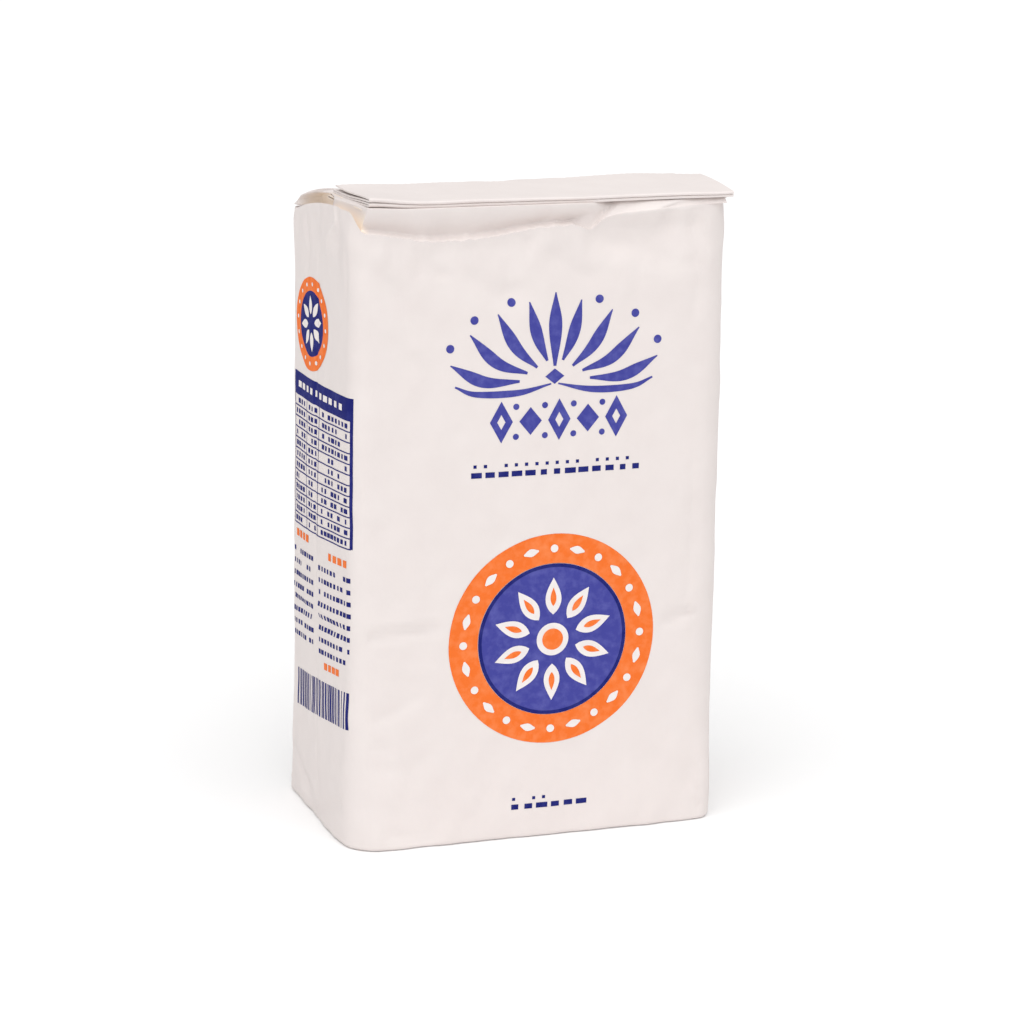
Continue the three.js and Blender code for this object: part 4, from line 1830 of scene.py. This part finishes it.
@dataclass(frozen=True)
class BarRows:
    """Rows of small printed bars.

    Attributes:
        at: The centre of the rows.
        columns: How many bars a row has.
        rows: How many rows there are.
        pitch: From one bar to the next.
        width: The longest bar's width.
        height: Each bar's height.
        unevenness: How much shorter a bar may be, as a share.
        left_out: The share of bars that are left out.
        seed: The seed of what is random.
        row_pitch: From one row to the next.
    """

    at: Spot
    columns: int
    rows: int
    pitch: float
    width: float
    height: float
    unevenness: float
    left_out: float
    seed: int
    row_pitch: float = 2.0

    def inputs(self) -> dict[str, float | int]:
        """Returns the inputs of the tree of printed bars."""
        return {
            "Columns": self.columns,
            "Rows": self.rows,
            "Column Pitch": self.pitch,
            "Row Pitch": self.row_pitch,
            "Bar Width": self.width,
            "Bar Height": self.height,
            "Unevenness": self.unevenness,
            "Left Out": self.left_out,
            "Seed": self.seed,
        }


@dataclass(frozen=True)
class PetalRing:
    """A ring of pointed petals.

    Attributes:
        petals: How many petals it has.
        radius: How far out they start.
        length: Their length.
        width: Their width.
        turn: How far the ring is turned, in radians.
    """

    petals: int
    radius: float
    length: float
    width: float
    turn: float = 0.0

    def inputs(self) -> dict[str, float | int]:
        """Returns the inputs of the tree of petals."""
        return {
            "Petals": self.petals,
            "Radius": self.radius,
            "Petal Length": self.length,
            "Petal Width": self.width,
            "Turn": self.turn,
        }


@dataclass(frozen=True)
class Trees:
    """The Geometry Nodes trees that the print and the lap are made with."""

    wrap: NodeTree
    bars: NodeTree
    petals: NodeTree


Stroke = tuple[Sequence[Spot], Knots]

LEAF: Knots = ((0, 0.7), (0.6, 3.3), (1, 0.3))
CURL: Knots = ((0, 0.4), (0.45, 1.9), (1, 0.5))
MIDDLE_LEAF: Knots = ((0, 0.8), (0.55, 3.8), (1, 0.3))
ARC: Knots = ((0, 0.4), (0.5, 2.2), (1, 0.4))


@dataclass
class FrontPrint:
    """The front's print: a palmette, a row of lozenges, a rosette emblem and rows of bars."""

    palmette_x: float = 2.4
    middle_leaf: tuple[float, ...] = (133.0, 143.0, 152.9)
    right_leaves: tuple[Stroke, ...] = (
        (((4.6, 134.5), (7.4, 141), (9.8, 150.6)), LEAF),
        (((7.4, 132.8), (13.4, 138.4), (18.6, 147.6)), LEAF),
        (((10.2, 131.4), (18.8, 134.6), (26.4, 142.4)), LEAF),
        (((12.4, 129.3), (22.4, 129.6), (31.8, 134.4)), LEAF),
        (((3.4, 128.2), (13, 126.2), (24.5, 126.3), (30.5, 128.6)), CURL),
    )
    palmette_knot: tuple[float, float, float] = (130.2, 5.4, 4.2)
    palmette_dots: tuple[Spot, ...] = ((-10.0, 150.6), (-20.4, 146.3), (-27.0, 138.9))
    palmette_dot: float = 1.15
    row_height: float = 118.4
    row_span: Span = (-12.6, 20.2)
    row_lozenges: int = 5
    lozenge_width: float = 6.4
    tall_lozenge: float = 11.4
    low_lozenge: float = 7.6
    tall_lozenge_open: float = 0.36
    row_dot: float = 0.85
    row_dot_heights: Span = (114.3, 122.5)
    row_dot_span: Span = (-8.5, 16.1)
    emblem: Spot = (3.1, 57.1)
    ring_radius: float = 29.7
    disc_radius: float = 20.9
    ring_gap: float = 0.6
    edge_reach: float = 0.5
    edge_width: float = 1.0
    white_petals: PetalRing = PetalRing(10, 7.0, 10.4, 4.6)
    orange_petals: PetalRing = PetalRing(10, 9.4, 5.2, 1.7)
    white_heart: float = 4.6
    orange_heart: float = 3.0
    ring_marks_count: int = 24
    ring_dot: float = 1.1
    arc_half_angle: float = 0.085
    bar_rows: tuple[BarRows, ...] = (
        BarRows((3.4, 104.2), 13, 1, 3.8, 3.2, 1.5, 0.6, 0.0, 3),
        BarRows((3.4, 106.6), 17, 1, 2.9, 0.9, 0.9, 0.0, 0.35, 15),
        BarRows((3.1, 9.4), 6, 1, 3.9, 3.3, 1.5, 0.5, 0.0, 8),
        BarRows((3.1, 11.7), 8, 1, 2.9, 0.9, 0.9, 0.0, 0.3, 12),
    )

    def strokes(self) -> list[Stroke]:
        """Returns the strokes of the palmette: its right half, mirrored left half and middle."""
        centre = self.palmette_x
        mirrored = [
            ([(2 * centre - x, z) for x, z in corners], widths) for corners, widths in self.right_leaves
        ]
        middle = ([(centre, z) for z in self.middle_leaf], MIDDLE_LEAF)
        return [*self.right_leaves, *mirrored, middle]

    def build(self, paper: Object, trees: Trees) -> list[Object]:
        """Builds the printed pieces.

        Args:
            paper: The skin that they lie on.
            trees: The Geometry Nodes trees.

        Returns:
            The pieces.
        """
        ink = Artwork(Side.FRONT, Ink.VIOLET, Lift.FIRST)
        self.palmette(ink)
        self.lozenge_row(ink)
        navy = Artwork(Side.FRONT, Ink.NAVY, Lift.FIRST)
        for rows in self.bar_rows:
            navy.from_tree(trees.bars, rows.inputs(), rows.at)
        orange = Artwork(Side.FRONT, Ink.ORANGE, Lift.FIRST)
        ring_open = (self.disc_radius + self.ring_gap) / self.ring_radius
        orange.disc(self.emblem, self.ring_radius, ring_open)
        disc = Artwork(Side.FRONT, Ink.VIOLET, Lift.SECOND)
        disc.disc(self.emblem, self.disc_radius)
        edge = Artwork(Side.FRONT, Ink.NAVY, Lift.THIRD)
        edge_radius = self.disc_radius + self.edge_reach
        edge.disc(self.emblem, edge_radius, 1 - self.edge_width / edge_radius)
        white = Artwork(Side.FRONT, Ink.WHITE, Lift.THIRD)
        white.from_tree(trees.petals, self.white_petals.inputs(), self.emblem)
        white.disc(self.emblem, self.white_heart)
        self.ring_marks(white)
        top = Artwork(Side.FRONT, Ink.ORANGE, Lift.FOURTH)
        top.disc(self.emblem, self.orange_heart)
        top.from_tree(trees.petals, self.orange_petals.inputs(), self.emblem)
        layers = {
            "front_print_violet": ink,
            "front_print_bars": navy,
            "emblem_ring": orange,
            "emblem_disc": disc,
            "emblem_edge": edge,
            "emblem_petals": white,
            "emblem_hearts": top,
        }
        return [art.wrap(name, paper, trees.wrap) for name, art in layers.items()]

    def palmette(self, ink: Artwork) -> None:
        """Adds the palmette with its knot and its dots.

        Args:
            ink: What it is added to.
        """
        for corners, widths in self.strokes():
            ink.stroke(corners, widths)
        height, width, tall = self.palmette_knot
        ink.lozenge((self.palmette_x, height), width, tall)
        for x, z in self.palmette_dots:
            ink.disc((x, z), self.palmette_dot)
            ink.disc((2 * self.palmette_x - x, z), self.palmette_dot)

    def lozenge_row(self, ink: Artwork) -> None:
        """Adds the row of lozenges and dots under the palmette.

        Args:
            ink: What it is added to.
        """
        for i, x in enumerate(np.linspace(*self.row_span, self.row_lozenges)):
            if i % 2 == 0:
                size = (self.lozenge_width, self.tall_lozenge, self.tall_lozenge_open)
            else:
                size = (self.lozenge_width, self.low_lozenge)
            ink.lozenge((x, self.row_height), *size)
        for x in np.linspace(*self.row_dot_span, self.row_lozenges - 1):
            for height in self.row_dot_heights:
                ink.disc((x, height), self.row_dot)

    def ring_marks(self, white: Artwork) -> None:
        """Adds the dots and the leaf-shaped arcs that alternate round the emblem's ring.

        Args:
            white: What they are added to.
        """
        middle = (self.ring_radius + self.disc_radius + self.ring_gap) / 2
        angles = [2 * math.pi * i / self.ring_marks_count for i in range(self.ring_marks_count)]
        for angle in angles[::2]:
            white.disc(self.round_point(middle, angle), self.ring_dot)
        for angle in angles[1::2]:
            sweep = np.linspace(-self.arc_half_angle, self.arc_half_angle, 5)
            white.stroke([self.round_point(middle, angle + turn) for turn in sweep], ARC)

    def round_point(self, radius: float, angle: float) -> Spot:
        """Returns a point round the emblem's centre."""
        return (self.emblem[0] + radius * math.cos(angle), self.emblem[1] + radius * math.sin(angle))


@dataclass
class SidePrint:
    """The left side's print: a roundel, a ruled table and rows of small bars."""

    roundel: Spot = (-6.3, 141.2)
    roundel_stretch: float = 1.3
    roundel_radius: float = 12.6
    roundel_open: float = 0.7
    roundel_disc: float = 8.85
    roundel_petals: PetalRing = PetalRing(8, 2.4, 5.2, 2.4, 0.2)
    roundel_dots: int = 16
    roundel_dot: float = 0.55
    roundel_dot_radius: float = 10.7
    table_left: float = -24.0
    table_right: float = 28.5
    table_top: float = 126.4
    table_foot: float = 85.4
    heading: float = 6.2
    heading_bars: BarRows = BarRows((2.25, 123.3), 10, 1, 4.4, 3.6, 1.7, 0.5, 0.1, 21)
    rules: int = 12
    rule_width: float = 0.34
    uprights: tuple[Spot, ...] = ((-24.0, 0.4), (-9.5, 0.32), (3.0, 0.32), (28.5, 1.0))
    table_bars: tuple[BarRows, ...] = (
        BarRows((16.4, 102.8), 8, 12, 2.7, 2.4, 1.3, 0.6, 0.25, 31, 2.9),
        BarRows((-3.3, 102.8), 3, 12, 2.9, 2.3, 1.3, 0.6, 0.1, 35, 2.9),
        BarRows((-17.0, 102.8), 4, 12, 2.9, 2.4, 1.3, 0.6, 0.1, 39, 2.9),
    )
    orange_bars: tuple[BarRows, ...] = (
        BarRows((19.5, 81.0), 4, 1, 3.9, 3.4, 2.0, 0.4, 0.0, 2),
        BarRows((-14.5, 82.8), 4, 1, 3.9, 3.4, 2.0, 0.4, 0.0, 6),
        BarRows((14.5, 50.0), 4, 1, 3.4, 3.0, 1.9, 0.3, 0.0, 12),
    )
    navy_bars: tuple[BarRows, ...] = (
        BarRows((15.8, 65.2), 10, 8, 2.6, 2.3, 1.3, 0.6, 0.1, 4, 3.3),
        BarRows((-13.6, 66.6), 9, 8, 2.6, 2.3, 1.3, 0.6, 0.1, 9, 3.3),
    )
    stripes: Span = (-21.0, 28.0)
    stripe_middle: float = 40.2
    stripe_height: float = 10.4
    stripe_widths: tuple[float, ...] = (0.45, 0.9, 1.3)
    stripe_gaps: tuple[float, ...] = (0.5, 0.9, 1.3)
    stripe_seed: int = 17
    level_at: float = 30.0
    slant_low: Spot = (40.0, 0.137)
    slant_high: Spot = (123.0, 0.045)
    slant_limit: float = 1.2

    def build(self, paper: Object, trees: Trees) -> list[Object]:
        """Builds the printed pieces.

        Args:
            paper: The skin that they lie on.
            trees: The Geometry Nodes trees.

        Returns:
            The pieces.
        """
        navy = Artwork(Side.LEFT, Ink.NAVY, Lift.FIRST)
        orange = Artwork(Side.LEFT, Ink.ORANGE, Lift.FIRST)
        white = Artwork(Side.LEFT, Ink.WHITE, Lift.THIRD)
        self.table(navy, white, trees.bars)
        self.rosette(navy, orange, white, trees.petals)
        for rows in self.orange_bars:
            orange.from_tree(trees.bars, rows.inputs(), rows.at)
        for rows in self.navy_bars:
            navy.from_tree(trees.bars, rows.inputs(), rows.at)
        self.stripe_block(navy)
        for art in (navy, orange, white):
            self.slant(art)
        layers = {"side_print_navy": navy, "side_print_orange": orange, "side_print_white": white}
        return [art.wrap(name, paper, trees.wrap) for name, art in layers.items()]

    def slant(self, art: Artwork) -> None:
        """Lets the print droop towards the back, more so further down, as the sheet is wrapped askew.

        Args:
            art: What is slanted.
        """
        (low, low_slope), (high, high_slope) = self.slant_low, self.slant_high
        for points in art.vertices:
            share = np.clip((points[:, 1] - low) / (high - low), 0, self.slant_limit)
            points[:, 1] -= lerp(low_slope, high_slope, share) * (self.level_at - points[:, 0])

    def rosette(self, navy: Artwork, orange: Artwork, white: Artwork, petals: NodeTree) -> None:
        """Adds the roundel, which is wider than it is tall.

        Args:
            navy: What its disc is added to.
            orange: What its ring is added to.
            white: What its petals and dots are added to.
            petals: The tree of petals.
        """
        for art in (navy, orange, white):
            art.stretch = self.roundel_stretch
        orange.disc(self.roundel, self.roundel_radius, self.roundel_open)
        navy.disc(self.roundel, self.roundel_disc)
        white.from_tree(petals, self.roundel_petals.inputs(), self.roundel)
        for i in range(self.roundel_dots):
            angle = 2 * math.pi * i / self.roundel_dots
            right = self.roundel_dot_radius * math.cos(angle) * self.roundel_stretch
            up = self.roundel_dot_radius * math.sin(angle)
            white.disc((self.roundel[0] + right, self.roundel[1] + up), self.roundel_dot)
        for art in (navy, orange, white):
            art.stretch = 1.0

    def table(self, navy: Artwork, white: Artwork, bars: NodeTree) -> None:
        """Adds the ruled table with its solid heading band.

        Args:
            navy: What the band, the rules and the bars are added to.
            white: What the bars of the heading are added to.
            bars: The tree of rows of bars.
        """
        width = self.table_right - self.table_left
        middle = (self.table_left + self.table_right) / 2
        navy.bar((middle, self.table_top - self.heading / 2), width, self.heading)
        white.from_tree(bars, self.heading_bars.inputs(), self.heading_bars.at)
        for height in np.linspace(self.table_top - self.heading, self.table_foot, self.rules + 1)[1:]:
            navy.bar((middle, float(height)), width, self.rule_width)
        centre = (self.table_top + self.table_foot) / 2
        for place, thick in self.uprights:
            navy.bar((place, centre), thick, self.table_top - self.table_foot)
        for rows in self.table_bars:
            navy.from_tree(bars, rows.inputs(), rows.at)

    def stripe_block(self, navy: Artwork) -> None:
        """Adds the block of plain upright stripes, of seeded widths.

        Args:
            navy: What they are added to.
        """
        random = np.random.default_rng(self.stripe_seed)
        place, end = self.stripes
        while place < end:
            thick = float(random.choice(self.stripe_widths))
            navy.bar((place + thick / 2, self.stripe_middle), thick, self.stripe_height)
            place += thick + float(random.choice(self.stripe_gaps))


@dataclass
class LapSeam:
    """The glued lap up the back, where the sheet's edge lies over its other edge.

    Its left, top and bottom edges run down into the paper, and its right edge runs out flat.
    """

    left: float = -24.0
    right: float = -8.0
    foot: float = 2.5
    top: float = 168.5
    sheet: float = 0.16
    sunk: float = -0.1
    flat: float = 0.02
    edge: float = 0.02
    columns: int = 16
    rows: int = 110

    def build(self, paper: Object, wrapping: NodeTree) -> Object:
        """Builds the lap as a thin wrapped sheet.

        Args:
            paper: The skin that it lies on.
            wrapping: The tree that lays a flat mesh onto it.

        Returns:
            The lap's object.
        """
        left, foot = self.left, self.foot
        across = np.linspace(left + 1, self.right, self.columns)
        across = np.concatenate([[left, left + self.edge], across])
        up = np.concatenate([[foot, foot + self.edge], np.linspace(foot + 1, self.top, self.rows)])
        up = np.append(up, self.top + self.edge)
        grid_x, grid_z = np.meshgrid(across, up)
        flat = np.stack([grid_x, grid_z], axis=-1).reshape(-1, 2)
        points = Side.BACK.value.standing(flat)
        made = new_object("lap_seam", points, grid_faces(len(up), len(across)))
        lifts = np.full(grid_x.shape, self.sheet)
        lifts[:, 0] = lifts[0] = lifts[-1] = self.sunk
        lifts[:, -1] = self.flat
        set_attribute(made.data, LIFT, lifts * MM)
        lay_on(made, Side.BACK.value, paper, paper.data.materials[0], wrapping)
        made.data.set_sharp_from_angle(angle=SHARP_ANGLE)
        return made


@dataclass
class BottomFlaps:
    """The flaps of the block bottom, folded in from all four sides and glued over each other."""

    half_width: float = 50.0
    half_depth: float = 28.0
    lean: float = -0.7
    sheet: float = 0.11
    end_flap: tuple[float, float, float] = (22.0, 6.0, 0.24)
    front_flap: tuple[float, float, float] = (24.0, 5.0, 0.13)
    back_flap: tuple[float, float, float] = (26.0, 7.0, 0.02)

    def build(self, paper: Material) -> Object:
        """Builds the flaps as thin plates, one over the other.

        Args:
            paper: The paper's material.

        Returns:
            The flaps' object.
        """
        w, d = self.half_width, self.half_depth
        end_x, end_y, end_z = self.end_flap
        front_x, front_y, front_z = self.front_flap
        back_x, back_y, back_z = self.back_flap
        outlines = (
            (((-w, -d), (-end_x, -end_y), (-end_x, end_y), (-w, d)), end_z),
            (((w, d), (end_x, end_y), (end_x, -end_y), (w, -d)), end_z),
            (((-w, -d), (w, -d), (front_x, front_y), (-front_x, front_y)), front_z),
            (((w, d), (-w, d), (-back_x, -back_y), (back_x, -back_y)), back_z),
        )
        vertices, faces = [], []
        for outline, low in outlines:
            start = len(vertices)
            vertices += [(x + self.lean, y, low) for x, y in outline]
            vertices += [(x + self.lean, y, low + self.sheet) for x, y in outline]
            faces += [(start + 3, start + 2, start + 1, start), tuple(start + i for i in (4, 5, 6, 7))]
            for i in range(4):
                j = (i + 1) % 4
                faces.append((start + i, start + j, start + 4 + j, start + 4 + i))
        made = new_object("bottom_flaps", np.array(vertices), faces)
        made.data.shade_flat()
        made.data.materials.append(paper)
        return made


@dataclass
class Studio:
    """The pale floor, the soft light and the camera at the photograph's viewing angle."""

    azimuth: float = -19.323
    elevation: float = 13.968
    roll: float = 0.963
    distance: float = 901.15
    lens: float = 113.41
    target: tuple[float, float, float] = (1.667, -1.0, 85.442)
    sensor: float = 36.0
    far: float = 200.0
    floor_radius: float = 60000.0
    world_light: float = 0.48
    sun_light: float = 2.28
    sun_width: float = 75.0
    sun_from: tuple[float, float, float] = (-0.38, -1.0, 2.2)

    def camera(self) -> None:
        """Makes the camera and gives it to the scene."""
        az, el, roll = (math.radians(a) for a in (self.azimuth, self.elevation, self.roll))
        back = Vector((math.sin(az) * math.cos(el), -math.cos(az) * math.cos(el), math.sin(el)))
        right = Vector((0, 0, 1)).cross(back).normalized()
        up = back.cross(right)
        right, up = (
            right * math.cos(roll) + up * math.sin(roll),
            up * math.cos(roll) - right * math.sin(roll),
        )
        data = bpy.data.cameras.new("photo_camera")
        data.lens = self.lens
        data.sensor_width = self.sensor
        data.clip_end = self.far
        made = bpy.data.objects.new("photo_camera", data)
        turn = Matrix((right, up, back)).transposed().to_4x4()
        place = (Vector(self.target) + back * self.distance) * MM
        made.matrix_world = Matrix.Translation(place) @ turn
        bpy.context.scene.collection.objects.link(made)
        bpy.context.scene.camera = made

    def floor(self) -> None:
        """Makes the floor."""
        r = self.floor_radius
        corners = np.array([(-r, -r, 0), (r, -r, 0), (r, r, 0), (-r, r, 0)])
        made = new_object("floor", corners, [(0, 1, 2, 3)])
        made.data.materials.append(FloorFinish().build())

    def light(self) -> None:
        """Makes an even white world and one very soft sun."""
        world = bpy.data.worlds.new("white_studio")
        world.use_nodes = True
        background = world.node_tree.nodes["Background"]
        background.inputs["Color"].default_value = (1.0, 1.0, 1.0, 1.0)
        background.inputs["Strength"].default_value = self.world_light
        bpy.context.scene.world = world
        sun = bpy.data.lights.new("soft_key", "SUN")
        sun.energy = self.sun_light
        sun.angle = math.radians(self.sun_width)
        made = bpy.data.objects.new("soft_key", sun)
        made.rotation_euler = Vector(self.sun_from).to_track_quat("Z", "Y").to_euler()
        bpy.context.scene.collection.objects.link(made)
        bpy.context.scene.view_settings.view_transform = "Standard"


def keep(piece: Object) -> None:
    """Lets a piece ride on the bag and reports it.

    Args:
        piece: The finished piece.
    """
    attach(piece, BODY)
    LOG.info("%s: %d faces", piece.name, len(piece.data.polygons))


def main() -> None:
    """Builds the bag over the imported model, and the studio round it."""
    logging.basicConfig(level=logging.INFO, format="%(message)s")
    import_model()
    studio = Studio()
    studio.camera()
    paper = PaperFinish().build()
    for ink in Ink:
        ink.value.build()
    skin = PaperSkin(BagForm()).build(paper)
    keep(skin)
    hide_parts(NODE)
    keep(FoldedStrip().build(paper))
    keep(GussetLayers().build(paper))
    keep(BottomFlaps().build(paper))
    trees = Trees(wrapping_tree(), bar_rows_tree(), petal_ring_tree())
    keep(LapSeam().build(skin, trees.wrap))
    for piece in FrontPrint().build(skin, trees) + SidePrint().build(skin, trees):
        keep(piece)
    studio.floor()
    studio.light()


if __name__ == "__main__":
    main()
